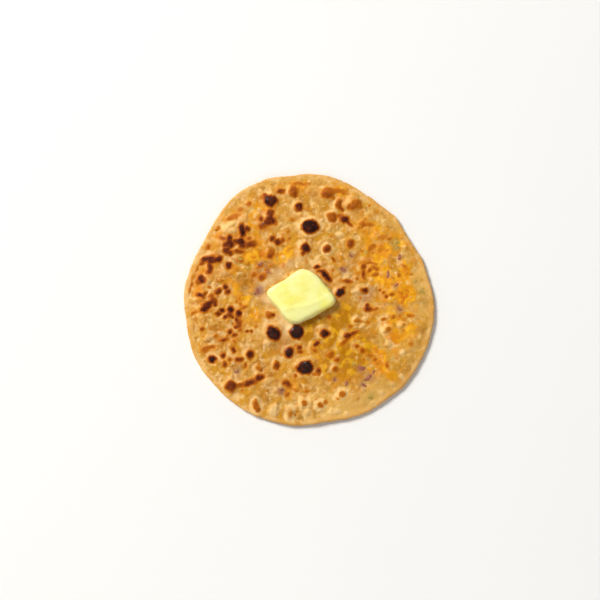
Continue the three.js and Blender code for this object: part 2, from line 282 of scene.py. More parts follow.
# %% Spots in the lower left
LOWER_LEFT = [
    (-75.5, -36.5, 3, 2.1, 20, 0.5), (-71, -35, 1.9, 1.2, 0, 0.6), (-62.5, -41.5, 1.8, 2.1, 0, 0.85),
    (-61.5, -47.5, 1.5, 2, 0, 0.7), (-57.5, -44, 1.2, 1.1, 0, 0.6), (-55.2, -37.2, 1.6, 1.9, 0, 0.85),
    (-51, -44.3, 2.4, 1.6, 15, 0.82), (-46.5, -48.5, 1.4, 1.9, 0, 0.5), (-36.5, -50.5, 1.8, 1.7, 0, 0.44),
    (-24, -48.5, 2.2, 2.6, 0, 0.7), (-50, -62.7, 3, 1.4, 10, 0.64), (-43, -60.8, 4.8, 2.3, 18, 0.82),
    (-36.2, -57.2, 3.4, 2.2, 30, 0.84), (-38.8, -77, 2, 2.8, 15, 0.6), (-37.6, -80.5, 1.5, 1.8, 0, 0.6),
    (-17, -61.5, 3.1, 2, -40, 0.76), (-16.3, -69.5, 1.4, 1.4, 0, 0.5), (-10.5, -56, 1.4, 1.2, 0, 0.6),
    (-8, -35.5, 1.6, 1.6, 0, 0.8), (-7, -38.6, 2, 1.5, 0, 0.66), (5, -33, 2, 1.6, 30, 0.9),
    (3, -37.5, 1.2, 1.1, 0, 0.56), (-14, -83.5, 1.4, 2.6, 0, 0.34), (-4, -75.5, 1.5, 1.9, 20, 0.44),
    (7.5, -77, 1.9, 1.8, 0, 0.52), (23, -69, 1.8, 1.7, 0, 0.5), (-2.5, -66.5, 1.2, 1, 0, 0.4),
    (4, -67, 1.1, 0.9, 0, 0.25), (34, -72.5, 1.1, 1, 0, 0.22), (-11, -65.5, 5.2, 1.6, -10, 0.28),
]
print(len(LOWER_LEFT), "spots in the lower left")

# %% Spots in the upper right
UPPER_RIGHT = [
    (-21.5, 79, 2.9, 2, -10, 0.78), (-12, 79, 2.8, 4.1, 0, 0.62), (-11, 76, 1.8, 1.8, 0, 0.5),
    (13, 77.5, 4.6, 4.1, 0, 0.52), (12, 75.8, 2.4, 2, 0, 0.66), (20.5, 79.5, 5.7, 1.9, 6, 0.4),
    (20.8, 69.6, 1.9, 2.9, -15, 0.61), (23, 66, 2.4, 1.7, -35, 0.68), (33.5, 69.6, 3.8, 2.9, 20, 0.5),
    (29.8, 67, 1.9, 2.4, 20, 0.6), (36.5, 67.5, 2.2, 1.8, 0, 0.3), (16.5, 59.5, 3, 3.2, 0, 0.6),
    (14.5, 60.5, 1.8, 1.7, 0, 0.45), (25, 58.2, 3.1, 2.6, 0, 0.92), (28.5, 55.3, 2.4, 1.5, -35, 0.8),
    (22, 60.5, 1.8, 1.1, 30, 0.6), (-13.5, 57.5, 2.1, 1.7, 0, 0.32), (-16, 49, 1.6, 1.4, 0, 0.36),
    (29.5, 40, 2.9, 2.7, 0, 0.67), (17, 28.5, 1.9, 1.2, -45, 0.62), (38.5, 54.5, 3, 1.9, -10, 0.42),
    (43.5, 54, 3.4, 1.3, 0, 0.38), (52.5, 45, 3.4, 1.8, 20, 0.32), (57.5, 44.2, 2, 1.4, 0, 0.34),
    (45, 37.5, 2.9, 1.8, 30, 0.42), (-7, 84.8, 6.2, 1.3, -3, 0.42), (24, 78, 3.8, 1.4, -20, 0.36),
    (51, 36, 2, 1.3, 0, 0.27), (62, 29, 1.6, 1.1, 20, 0.16), (68, 24, 2.1, 1.3, -30, 0.36),
]
print(len(UPPER_RIGHT), "spots in the upper right")

# %% Spots at the right
RIGHT_SIDE = [
    (38.8, 23.8, 1.8, 1.8, 0, 0.66), (39, 18, 1.2, 3.6, 5, 0.76), (44, 26, 4, 0.8, -5, 0.5),
    (47.3, 22.4, 2.8, 1.4, -20, 0.45), (47.6, 17.8, 2.2, 1.1, 20, 0.42), (43.2, 20.5, 1.7, 1.2, 40, 0.6),
    (41.6, -5, 1.5, 1.7, 0, 0.82), (42.3, -7.9, 2.9, 1.8, 0, 0.84),
    (47, -7.5, 1.8, 1, 0, 0.5), (50.5, 6.3, 1, 0.9, 0, 0.55), (53.4, 4.4, 0.9, 0.8, 0, 0.6),
    (55.4, 1.4, 1.2, 1.1, 0, 0.72), (59.2, 3, 1.6, 1, 0, 0.56), (27, 12.5, 3.1, 1.2, 0, 0.74),
    (14, -13.5, 1.5, 2, 0, 0.5), (73, -12.5, 2.2, 1, 0, 0.45), (60, -13.5, 1.6, 1.5, 0, 0.4),
    (53.5, -15, 1.6, 1.4, 0, 0.52), (42, -17, 1.6, 1.4, 0, 0.4), (31, -25.8, 4, 1.4, 28, 0.72),
    (34, -16, 1.5, 1.4, 0, 0.45), (29, -20, 1.5, 1.5, 0, 0.45), (27, -27, 2.3, 2.1, 0, 0.84),
    (25, -31.5, 3.4, 1.6, 40, 0.6), (34, -34.5, 1.6, 1.5, 0, 0.6), (37.5, -37.5, 2, 1.6, 0, 0.62),
    (43, -41, 3.6, 1.4, -15, 0.32), (47, -44.3, 1.7, 1.4, 0, 0.45), (55.5, -48, 1.3, 1.9, 0, 0.5),
    (14.5, -41, 2.5, 2.2, 0, 0.5), (19, -44, 1.9, 1.7, 0, 0.6), (18, -51, 1.5, 1.7, 0, 0.58),
    (56.5, -22.5, 2, 1.8, 0, 0.38), (73, -33, 1.7, 2.4, 0, 0.28),
]
PLACED_SPOTS = [
    *CHARRED_BLISTERS, *UPPER_LEFT_BELT, *LEFT_BELT, *LOWER_LEFT, *UPPER_RIGHT, *RIGHT_SIDE,
]
print(len(PLACED_SPOTS), "spots placed by hand")

# %% The pinpricks, scattered at random
PINPRICKS = 260
CLEAR_RIM = 7  # mm of rim that the griddle never touched


def scattered_spots(count, seed, sizes, tones):
    """Small spots at random on the disc, in the same rows as the placed ones."""
    chance = np.random.default_rng(seed)
    reach = (BREAD_RADIUS - CLEAR_RIM) * np.sqrt(chance.uniform(0, 1, count))
    angle = chance.uniform(0, 2 * np.pi, count)
    half = chance.uniform(*sizes, count)
    squash = chance.uniform(0.6, 1, count)
    turn = chance.uniform(0, 180, count)
    tone = chance.uniform(*tones, count)
    columns = reach * np.cos(angle), reach * np.sin(angle), half, half * squash, turn, tone
    return [tuple(row) for row in np.column_stack(columns)]


top_spots = PLACED_SPOTS + scattered_spots(PINPRICKS, 21, sizes=(0.45, 1.3), tones=(0.18, 0.45))
print(len(top_spots), "spots on the top in all")

# %% [markdown]
# ## Turning spots into masks
# On the bread a scorched spot is an uneven blot that fades into the dough, and the dough round
# it is toasted. A perfect ellipse would look printed. So before a point is measured against a
# spot, the point itself is shifted by noise, and every edge wanders in its own way. The blister
# under the spot is measured with the same shift later on, which keeps the two together.


# %% Shifting points and measuring them
WANDER_LAYERS = [(4.6, 0.8), (2.1, 0.35)]  # size of the noise, and mm that it moves a point
BLISTER_SEED = 61  # the same for paint and relief, so that spots stay on their blisters
UNDERSIDE_SEED = 91


def wander(x, y, seed):
    """The points, each shifted a little, so that round things come out uneven."""
    sideways = [(size, reach, seed + i) for i, (size, reach) in enumerate(WANDER_LAYERS)]
    upwards = [(size, reach, seed + 2 + i) for i, (size, reach) in enumerate(WANDER_LAYERS)]
    return x + ruffles(x, y, sideways), y + ruffles(x, y, upwards)


def ellipse_distance(x, y, spot):
    """1 on the spot's outline, 0 at its centre."""
    spot_x, spot_y, half_length, half_width, turn = spot[:5]
    cosine, sine = math.cos(math.radians(turn)), math.sin(math.radians(turn))
    along = (x - spot_x) * cosine + (y - spot_y) * sine
    across = (y - spot_y) * cosine - (x - spot_x) * sine
    return np.hypot(along / half_length, across / half_width)


first_spot = CHARRED_BLISTERS[0]
spot_end = np.array([first_spot[0] + first_spot[2]]), np.array([first_spot[1]])
print("at a spot's end the measure is %.2f" % ellipse_distance(*spot_end, first_spot)[0])

# %% Scorch
FRINGE_BASE, FRINGE_GROWTH, WIDEST_FRINGE = 0.8, 0.35, 1.6  # mm, mm for each mm of spot, mm
RAW_FRINGE, CHARRED_FRINGE = 1.2, 0.82  # how much wider or narrower these fringes are
FRINGE_INSIDE = 0.6  # mm of fringe inside the outline for each mm outside
FURTHEST_FRINGE = 3  # mm past a spot's longer half, where it leaves no mark
SCORCH_SHIFT_FROM_LIGHT = (0.5, -0.4)  # mm that the scorch is moved off its dome's crown towards the lower right, away from the lamp: painted shade on that flank


def fringe_of(slim, tone):
    """The mm over which a spot fades into the dough: less round a charred one."""
    fringe = min(FRINGE_BASE + FRINGE_GROWTH * slim, WIDEST_FRINGE)
    return fringe * mix(RAW_FRINGE, CHARRED_FRINGE, tone)


def spot_scorch(x, y, spots, seed):
    """How burnt each point is by all the spots together, 0 to 1."""
    # Moved away from the lamp, the dark of each spot lies on its dome's shaded flank: painted shade.
    moved_x, moved_y = wander(x - SCORCH_SHIFT_FROM_LIGHT[0], y - SCORCH_SHIFT_FROM_LIGHT[1], seed)
    cubes, darkest = np.zeros_like(x), np.zeros_like(x)
    for spot in spots:
        slim = min(spot[2:4])
        fringe = fringe_of(slim, spot[5])
        reach = max(spot[2:4]) + FURTHEST_FRINGE
        near = np.flatnonzero(np.hypot(moved_x - spot[0], moved_y - spot[1]) < reach)
        outside = (ellipse_distance(moved_x[near], moved_y[near], spot) - 1) * slim
        strength = spot[5] * np.clip((fringe - outside) / ((1 + FRINGE_INSIDE) * fringe), 0, 1)
        cubes[near] += strength**3  # where two fringes meet they darken into a bridge
        darkest[near] = np.maximum(darkest[near], np.where(strength > 0, spot[5], 0))
    return np.minimum(np.cbrt(cubes), darkest)


crown_x = np.array([first_spot[0] + SCORCH_SHIFT_FROM_LIGHT[0]])
crown_y = np.array([first_spot[1] + SCORCH_SHIFT_FROM_LIGHT[1]])
crown_scorch = spot_scorch(crown_x, crown_y, [first_spot], BLISTER_SEED)
print("scorch on the largest blister: %.2f" % crown_scorch[0])

# %% Toast round the spots
TOAST_REACH = 3.2  # mm that the glow of a hot spot spreads past it
TOAST_STRENGTH = 0.3
TOAST_CUT = 2.2  # widths of the bell, past which it is too faint to count


def toasted_glow(x, y, spots):
    """The dough round a scorched spot is toasted too, most where several lie together."""
    glow = np.zeros_like(x)
    for spot in spots:
        width = TOAST_REACH + max(spot[2:4])
        distance = np.hypot(x - spot[0], y - spot[1])
        near = np.flatnonzero(distance < TOAST_CUT * width)
        glow[near] += TOAST_STRENGTH * spot[5] * bell(distance[near], width)
    return np.clip(glow, 0, 1)


print("toast on the largest blister: %.2f" % toasted_glow(crown_x, crown_y, PLACED_SPOTS)[0])

# %% [markdown]
# ## Pale rings, bumps and painted highlights
# A blister's sides lean away from the griddle, so they stay pale and dry. The flank that faces the
# lamp, on the upper left, is painted paler still as a painted highlight, and the scorch is moved
# onto the lower right flank as painted shade. Small blisters never touch the iron and are pale all
# over. The colour could be read from the slope of the finished mesh, but the slope also changes
# at every wrinkle. So the rings and bumps have rows of their own, and every scorched spot gets
# a faint broken shoulder as well, a painted highlight that is strongest on the upper left.

# %% Pale rings and bumps
# Each row is x, y, half length, half width, turn, and how pale the ring is.
PALE_RINGS = [
    (0.5, 52.3, 8.2, 6.8, 0, 0.9), (-28.5, 71.5, 5.8, 5.4, 0, 0.3), (-3, 36.2, 4.8, 5.2, 0, 0.7),
    (12.8, 36.2, 4.1, 3.9, 0, 0.9), (-57, -63.5, 5.4, 5, 0, 0.5), (-43, -40.5, 4, 4.6, 0, 0.6),
    (-38.3, -78, 4, 5.6, 10, 0.9), (-14, -83, 3.6, 5.8, 0, 1), (-4, -75.5, 3.8, 4.2, 0, 1),
    (7.5, -77, 3.9, 3.8, 0, 1), (23, -69, 4, 4, 0, 1), (-1.5, -83.5, 2.6, 2.4, 0, 0.9),
    (34, -16, 2.6, 2.6, 0, 0.7), (55.5, -22.5, 3.4, 3, 0, 0.7), (18, -51, 2.8, 2.8, 0, 0.6),
    (32.7, 69.3, 6.6, 5.4, 10, 0.2), (16, 59.8, 4.4, 4.3, 0, 0.8), (-26.5, -24, 7, 6.6, 0, 0.6),
    (9.6, -24.4, 4.8, 4.3, 0, 0.7), (-15, -39, 4.9, 4.4, 60, 0.5), (38, 5.8, 5.6, 3.4, 0, 0.6),
    (22, 5, 4.5, 4, 40, 0.4), (-8, 67, 4, 4, 0, 0.5), (-2.5, -49.5, 7.2, 6.6, 0, 0.4),
    (20.9, 69, 3.2, 4.4, -15, 0.4), (-24, -48.5, 3.2, 3.6, 0, 0.6), (-36.5, -50.5, 3, 2.9, 0, 0.5),
    (13.4, 77.3, 5.8, 5, 0, 0.2), (-12, 79, 4, 5.2, 0, 0.4), (67, -19.5, 2.6, 2.4, 0, 0.7),
]
# Bumps that stayed pale all over: x, y, half length, half width, turn, and how pale.
PALE_BUMPS = [
    (-25.5, -81, 3.9, 4.4, 0, 1), (18, -82, 5, 2.4, 8, 0.9), (27, -83, 2, 1.7, 0, 0.8),
    (67, -39.5, 2.4, 2.2, 0, 0.9), (66.5, -56.5, 1.8, 1.6, 0, 0.8), (57, -33, 2.4, 2.1, 0, 0.7),
    (-61, 51.5, 3.8, 2.8, 20, 0.6), (-55.5, 49.5, 3, 2.4, 0, 0.6),
    (-57, 54.5, 3.6, 2, 30, 0.7), (-48, 58.5, 4, 2.8, 0, 0.6), (14, 50, 2.6, 1.8, 60, 0.7),
    (22, 46, 2.8, 2.2, 0, 0.6), (-72, -28.5, 4.5, 2.2, 10, 0.5),
    (-30, -60, 5, 2.2, 20, 0.5), (40, -14.5, 2.2, 1.8, 0, 0.8), (37.8, -20.5, 2.4, 1.4, 30, 0.8),
    (6.5, 29.5, 2.6, 1.8, 40, 0.6), (28, 16.5, 2.6, 2.2, 0, 0.6), (33, 5.2, 2.8, 1.5, 15, 0.95),
    (-30.5, -33, 3.4, 2.6, 0, 0.5), (-62, 18, 3.2, 2.2, 0, 0.5), (60, -62, 2.2, 1.8, 0, 0.5),
    (46, -76, 3.6, 1.6, 30, 0.6), (-74, 12, 2.8, 2.4, 0, 0.5), (52, -68, 2.8, 2.2, 0, 0.5),
]
PIMPLES = 150
PALE_BUMPS += scattered_spots(PIMPLES, 22, sizes=(0.7, 1.7), tones=(0.4, 0.9))
print(len(PALE_RINGS), "rings and", len(PALE_BUMPS), "pale bumps")

# %% How pale each point is
FLANK_TURN = (-0.6, 0.9)  # half widths of the spot, over which the lit flank's painted highlight gives way to the shaded flank
RING_WIDTH, DOME_PALENESS, DOME_FADE = 1.15, 0.75, 1  # mm, share, mm on each side of the ring
WHOLE_RING = (0.4, 1)  # a ring paler than the first begins to close, and at the second it has; fainter rings are a painted highlight on the lit flank only
BUMP_FADE = (1.4, 0.7)  # shares of a bump's size where its paleness starts and is full
# Every spot has a pale shoulder too, broken here and there: a painted highlight, full on the upper left, the
# side facing the lamp.
SHOULDER_OFFSET, SHOULDER_WIDTH, SHOULDER_PALENESS, SHADED_SHOULDER = 2.3, 0.9, 0.8, 0.3


def lit_flank_highlight(x, y, spot, shaded_side_share):
    """1 on the flank facing the lamp, as a painted highlight, and the given share on the flank in shade."""
    toward_shade = (x - spot[0]) * SCORCH_SHIFT_FROM_LIGHT[0] + (y - spot[1]) * SCORCH_SHIFT_FROM_LIGHT[1]
    side = toward_shade / math.hypot(*SCORCH_SHIFT_FROM_LIGHT) / min(spot[2:4])
    return mix(1, shaded_side_share, smooth(side, *FLANK_TURN))


def mm_outside(x, y, spot):
    """Roughly how far a point lies outside the spot's outline."""
    return (ellipse_distance(x, y, spot) - 1) * min(spot[2:4])


def ring_paleness_and_highlight(x, y, ring):
    off = mm_outside(x, y, ring)
    inside = DOME_PALENESS * smooth(off, DOME_FADE, -DOME_FADE)
    closed = smooth(np.array(ring[5]), *WHOLE_RING)
    # Fainter rings fade on the shaded side, leaving a painted highlight on the flank facing the lamp.
    flank = ring[5] * lit_flank_highlight(x, y, ring, closed)
    return flank * np.maximum(bell(off, RING_WIDTH), inside)


def shoulder_highlight(x, y, spot):
    # The shoulder is a painted highlight, full on the side facing the lamp and weaker on the shaded side.
    flank = spot[5] * lit_flank_highlight(x, y, spot, SHADED_SHOULDER)
    return flank * bell(mm_outside(x, y, spot) - SHOULDER_OFFSET, SHOULDER_WIDTH)


def paleness_and_highlight(x, y, seed):
    """The palest of all the rings, bumps and shoulders at each point, painted highlights on the lit flanks
    included.
    """
    moved = wander(x, y, seed)
    pale = np.zeros_like(x)
    for ring in PALE_RINGS:
        pale = np.maximum(pale, ring_paleness_and_highlight(*moved, ring))
    for bump in PALE_BUMPS:
        pale = np.maximum(pale, bump[5] * smooth(ellipse_distance(*moved, bump), *BUMP_FADE))
    broken = SHOULDER_PALENESS * smooth(ruffle(x, y, size=5, seed=63), -0.25, 0.3)
    for spot in PLACED_SPOTS:
        pale = np.maximum(pale, broken * shoulder_highlight(*moved, spot))
    return pale


print("paleness on the largest blister: %.2f" % paleness_and_highlight(crown_x, crown_y, BLISTER_SEED)[0])

# %% [markdown]
# ## Stains
# Turmeric and chilli in the filling colour the crust from inside in soft clouds, gold on the left
# and a broad orange on the right. Melting butter soaks the dough to a wet mustard on the pat's
# lower side, leaves a milky film on the upper one, and stands shining in a few places. Right
# against the pat's lower right side this mustard, and a darker cloud, also stand in for the pat's
# shadow: painted shade. Onion tints the dough lilac and coriander tints it green. The dough
# between has its own moods: nearly raw towards the rim, a shade darker in patches, and calm where
# it was pressed smooth.
# All of these could be brushed onto a texture by hand. None of them has an outline, though, so
# a list of soft round clouds says the same in a form that can be edited: a sum of bells.

# %% Clouds of gold
# Each row is x, y, radius and strength.
TURMERIC = [
    (-40, 46, 7, 1.0), (-37, 32, 7, 0.9), (-20, 33, 9, 0.85), (-46, 0, 10, 0.7), (-46, 28, 8, 0.6),
    (-34, 66, 7, 0.55), (-42, 57, 7, 0.5), (-68, 46, 5, 0.4), (-77, 22, 7, 0.5), (-80, 5, 6, 0.6),
    (-54, 14, 9, 0.4), (-38, -12, 7, 0.45), (-58, -33, 9, 0.35), (-60, 62, 7, 0.5), (36, 56, 9, 0.4),
    (64, 14, 24, 0.3), (52, 44, 9, 0.75), (46, 30, 10, 0.6), (70, 8, 11, 0.8), (70, -3, 9, 0.5),
    (44, 20, 8, 0.7), (60, -12, 14, 0.45), (50, -46, 10, 0.75), (42, -40, 8, 0.7),
    (28, -30, 9, 0.6), (62, 24, 10, 0.5), (8, -37, 8, 0.6), (20, -54, 9, 0.5), (58, -58, 8, 0.5),
    (-12, -64, 8, 0.4), (22, 78, 9, 0.5), (-8, 84, 8, 0.5), (64, 40, 8, 0.45), (74, -20, 11, 0.4),
    (62, -32, 8, 0.4), (20, 26, 8, 0.35), (40, -68, 7, 0.4),
]
print(len(TURMERIC), "gold clouds")

# %% Clouds of butter
SOAKED_AND_SHADED = [  # dough that melted butter has soaked, and beside the pat's lower right side painted shade
    # The cloud at 5, -16, beside the pat's lower right side, also paints its shadow: painted shade.
    (22, -14, 9, 0.8), (30, -28, 11, 0.7), (12, -32, 10, 0.85), (24, -44, 12, 0.75), (5, -16, 6, 0.9),
    (34, -8, 8, 0.4), (38, -38, 9, 0.5), (14, -54, 8, 0.5), (-2, -28, 7, 0.5), (28, 2, 6, 0.35),
    (30, -35, 10, 0.6), (31, -49, 9, 0.55), (25, -21, 7, 0.3), (-27, -8, 3.6, 0.5), (-22.5, -13.5, 3.6, 0.45),
    (0, -14, 6, 0.5), (-12, -32, 5, 0.4),
]
MILKY = [  # the film that melted butter leaves
    (-21.5, 18, 4, 0.9), (-14, 24.5, 3.6, 0.8), (-28, 13, 3.4, 0.9), (-33.5, 9.5, 3.2, 0.9),
    (-31, -1, 3, 0.8), (-28, -3, 4, 0.5), (-20, -17.5, 2.8, 1.0), (-20, -13, 4, 0.6),
    (-15, -20, 2, 0.8), (-31, -17, 3.6, 0.45), (-18, -25, 2.4, 0.8), (-17, -21, 2.4, 0.8),
    (-5, 27, 4, 0.5), (-17, -30, 4, 0.25),
]
GREASED = [  # melted butter that stands on the crust and catches the light
    (-9, -22, 4, 1), (-3, -49, 4, 1), (-26, -24, 3.5, 0.9), (-15, -38.5, 2.5, 0.6), (-36, 5, 4, 0.6),
    (21, -12, 6, 0.3), (12, -16, 6, 0.3), (-28, 72, 3, 0.5), (22, 5, 3, 0.6), (-18, 22, 6, 0.25),
]
print(len(SOAKED_AND_SHADED), "soaked,", len(MILKY), "milky and", len(GREASED), "greased clouds")

# %% Clouds round the onion and the coriander
LILAC = [  # round the onion
    (-36.5, 5, 4, 1.0), (-35, 24, 3, 0.6), (-30, 19, 2.6, 0.6), (43.5, -57, 3.4, 0.7),
    (38, -63, 3, 0.6), (37, -51.5, 2.8, 0.6), (18.5, -59, 1.8, 0.6), (27, -62, 1.8, 0.6),
    (65, -8, 3, 0.5), (40, 0, 5, 0.4), (66, 30, 2.2, 0.6), (63, 9, 2.4, 0.45),
    (57, -7, 5, 0.2), (57.5, 17, 2, 0.5), (25, 20, 3.4, 0.6), (-20, -67.5, 2.8, 0.6),
    (-52, -53, 3, 0.6), (-34.5, 53.5, 3, 0.6), (-69, -2.5, 3, 0.5), (-58.5, 5, 2.6, 0.5),
    (31.5, 32, 2, 0.5), (-79, 12, 3, 0.4), (44, 6.5, 2.8, 0.35), (27.5, 55.5, 2.4, 0.4),
]
LEAFY = [  # round the coriander
    (62, 41, 2.8, 0.7), (62.5, 36.5, 2.4, 0.7), (82, 5, 3.2, 0.5), (-50.5, 28.5, 2.8, 0.8),
    (40.5, 33.5, 2.6, 0.5), (77, 12, 2.4, 0.4), (44, -71, 4.6, 0.45), (60, -44, 3, 0.3),
    (32, -47, 2.6, 0.5), (-44, 22, 2.6, 0.4), (83, -3, 2.6, 0.4), (-20, -7.5, 2, 0.2),
]
print(len(LILAC), "lilac and", len(LEAFY), "green clouds")

# %% The dough's own clouds
UNTOUCHED = [  # dough that the griddle hardly coloured
    (75, -38, 12, 0.4), (56, -66, 14, 0.55), (32, -80, 11, 0.95), (2, -73, 9, 0.25), (82, -8, 8, 0.9),
    (84, 8, 7, 0.8), (81, 16, 8, 0.6), (80, 25, 6, 0.4), (44, -72, 8, 0.45), (15, -80, 9, 0.7),
    (-15, 60, 9, 0.35), (-40, -27, 7, 0.3), (-16, 66, 6, 0.2), (-60, 52, 5, 0.6), (20, -82, 8, 0.6),
    (48, -69, 8, 0.5), (63, 55, 7, 0.8), (48, 69, 6, 0.5), (75, 14, 6, 0.7), (6, 58, 4, 0.4),
]
TANNED_AND_SHADED = [  # dough that is evenly a shade darker, and painted shade where it lies against the pat's lower right side
    (-29, -63, 10, 0.5), (-31, 43, 7, 0.5), (-45, 8, 8, 0.6), (-28, 22, 9, 1.0),
    (-26, -34, 7, 0.6), (16, -54, 8, 0.5), (30, -48, 9, 0.7), (39, -26, 7, 0.6),
    # The cloud at 4, -9, against the pat's lower right side, is painted shade.
    (31, -34, 7, 1.0), (-62, -30, 8, 0.5), (4, -9, 7, 1.0), (-17, -34, 7, 0.9),
    (33, 26, 8, 0.8), (11, 10, 7, 1.0), (-15, -36, 6, 0.6), (-63, -31, 6, 0.5),
    (-50, 12, 7, 0.4), (6, -22, 6, 0.7), (-40, 16, 7, 0.7), (23, 0, 6, 0.6),
]
CALM = [  # dough that lies smooth, whatever its colour
    (64, -8, 26, 0.7), (54, 34, 14, 0.4), (0, 66, 12, 0.6), (-32, -62, 12, 0.4), (62, -50, 14, 0.4),
    (8, 84, 10, 0.3),
]
print(len(UNTOUCHED), "untouched,", len(TANNED_AND_SHADED), "tanned and", len(CALM), "calm clouds")


# %% Measuring points against clouds
SOAKED_SEED, CALM_SEED = 51, 58  # these two shape the relief as well as the colour


def clouds(x, y, rows, seed):
    """The clouds of one list added up at each point, 0 to 1."""
    moved_x, moved_y = wander(x, y, seed)
    total = np.zeros_like(x)
    for cloud_x, cloud_y, radius, strength in rows:
        total += strength * bell(np.hypot(moved_x - cloud_x, moved_y - cloud_y), radius)
    return np.clip(total, 0, 1)


def calmness(x, y):
    """How smooth the dough lies: where the griddle hardly coloured it, and in calm patches."""
    return clouds(x, y, UNTOUCHED + CALM, CALM_SEED)


beside_pat = clouds(np.array([22.0]), np.array([-14.0]), SOAKED_AND_SHADED, SOAKED_SEED)
print("soaked beside the pat: %.2f" % beside_pat[0])

# %% [markdown]
# ## Relief of the crust
# Close up, fried dough is wrinkled: broad puckers, small puffs, fine creases, and a grain like
# orange peel. The blisters rise out of it, flat on top where the iron pressed them. Butter fills
# the hollows, so the relief is quieter where the dough is soaked, and quieter still towards the
# rim, which fingers pressed smooth. A bump in the material would be cheaper, but it leaves the
# outline flat when the bread is seen from the side. So bumps wider than a millimetre or two are
# real geometry, and only the grain below that is left to the material.

# %% The top's fine relief
PUCKERS = [(11, 0.32, 31), (6.2, 0.46, 32), (3.6, 0.42, 33), (2.2, 0.2, 34)]  # size, height, seed
CREASE_DEPTH, CREASE_WIDTH = 0.16, 0.12  # mm, share of the noise's height
SOAKED_SHARE, RIM_SHARE, CALM_SHARE = 0.45, 0.35, 0.45  # how much of the wrinkles is left there
WRINKLE_START = (1, 8)  # mm from the edge where the wrinkles are at the rim's share and in full


def puckered(x, y):
    return ruffles(x, y, PUCKERS)


def crust_relief(x, y, inwards, soaked):
    """The wrinkles: puckers, with creases along the lines where a broader noise is zero."""
    creased_here = smooth(ruffle(x, y, size=40, seed=36), -0.1, 0.5)
    creases = CREASE_DEPTH * bell(ruffle(x, y, size=13, seed=35), CREASE_WIDTH) * creased_here
    left = mix(1, SOAKED_SHARE, soaked) * mix(RIM_SHARE, 1, smooth(inwards, *WRINKLE_START))
    left = left * mix(1, CALM_SHARE, calmness(x, y))
    return (puckered(x, y) - creases) * left


print("wrinkles are at most %.1f mm high" % sum(height for _, height, _ in PUCKERS))

# %% Blisters
BLISTER_RISE, BLISTER_FOOT = 0.4, 1.35  # height and reach, as shares of a blister's half width
SPOT_RISE, SPOT_FOOT = 0.3, 1.8  # the same for a scorched spot with no ring
TALLEST_BLISTER = 1.8
FLAT_CROWN = 0.25  # share of a dome's width that the iron pressed flat


def blister_relief(x, y, seed):
    """The height of the tallest dome at each point."""
    moved = wander(x, y, seed)
    height = np.zeros_like(x)
    domes = [(row, BLISTER_RISE, BLISTER_FOOT) for row in [*PALE_RINGS, *PALE_BUMPS]]
    domes += [(row, SPOT_RISE, SPOT_FOOT) for row in PLACED_SPOTS]
    for row, share, foot in domes:
        rise = min(TALLEST_BLISTER, share * min(row[2:4]))
        distance = ellipse_distance(*moved, row)
        height = np.maximum(height, rise * smooth(distance, foot, FLAT_CROWN))
    return height


print("the largest blister is %.1f mm high" % blister_relief(crown_x, crown_y, BLISTER_SEED)[0])

# %% [markdown]
# ## The crust's mesh
# The crust is one closed skin: a top, a rounded rim and an underside. A wheel of spokes would
# crowd its points at the centre and starve the rim. A plain square grid has even cells but a
# ragged edge. The way taken here bends a square grid into a disc: cells stay nearly equal, and
# the grid's border becomes one smooth line that a few rings carry round the rim. The underside
# is a second, coarser disc.


# %% A square grid bent into a disc
def disc_grid(steps):
    """Shares of the radius and angles for a grid of steps by steps cells."""
    lines = np.linspace(-1, 1, steps + 1)
    a, b = np.meshgrid(lines, lines, indexing="ij")
    wide = np.abs(a) >= np.abs(b)
    reach = np.where(wide, a, b)
    safe = np.where(reach == 0, 1, reach)
    turn = np.where(wide, np.pi / 4 * b / safe, np.pi / 2 - np.pi / 4 * a / safe)
    turn = turn + np.where(reach < 0, np.pi, 0)
    return np.abs(reach).ravel(), turn.ravel()


def grid_border(steps):
    """Indices of the grid's border points, anticlockwise from -45 degrees."""
    side = steps + 1
    right = [steps * side + j for j in range(steps)]
    top = [(steps - i) * side + steps for i in range(steps)]
    left = [steps - j for j in range(steps)]
    bottom = [i * side for i in range(steps)]
    return right + top + left + bottom


def grid_cells(steps, flip=False):
    """The grid's four-sided faces, facing up, or down if flipped."""
    side = steps + 1
    cells = []
    for i in range(steps):
        for j in range(steps):
            corner = i * side + j
            cell = (corner, corner + side, corner + side + 1, corner + 1)
            cells.append(cell[::-1] if flip else cell)
    return cells


print("a grid of 4 by 4 cells has 25 points,", len(grid_border(4)), "of them on its border")

# %% [markdown]
# ## The pinched rim
# The filled dough was closed by hand before it was rolled out, so the edge is never true. It
# wanders a little in and out, swells and thins, shows a broken seam round its side, and cracks
# where it dried. Blender's displace modifier could roughen the edge, but it pushes every point
# along its normal and would blur the seam. Here the lean of each ring, from top to bottom, says
# where the seam lies, so it stays crisp.

# %% How the rim wanders
RIM_WOBBLES = [(14, 0.4, 41), (5, 0.22, 42), (2, 0.08, 43)]  # size, reach, seed
RIM_SWELLS = [(13, 0.45, 48), (5, 0.22, 49)]
STEP_DEPTH, STEP_PLACE, STEP_WIDTH = 0.22, 5.5, 2  # mm
STEP_CIRCLE = 9  # radius of the small circle on which the step's noise is read


def on_edge(angle):
    return BREAD_RADIUS * np.cos(angle), BREAD_RADIUS * np.sin(angle)


def rim_wobble(angle):
    """The mm that the edge lies outside its plain outline."""
    return ruffles(*on_edge(angle), RIM_WOBBLES)


def rim_swell(angle):
    """The mm by which fingers left the rim thicker here and thinner there."""
    return ruffles(*on_edge(angle), RIM_SWELLS)


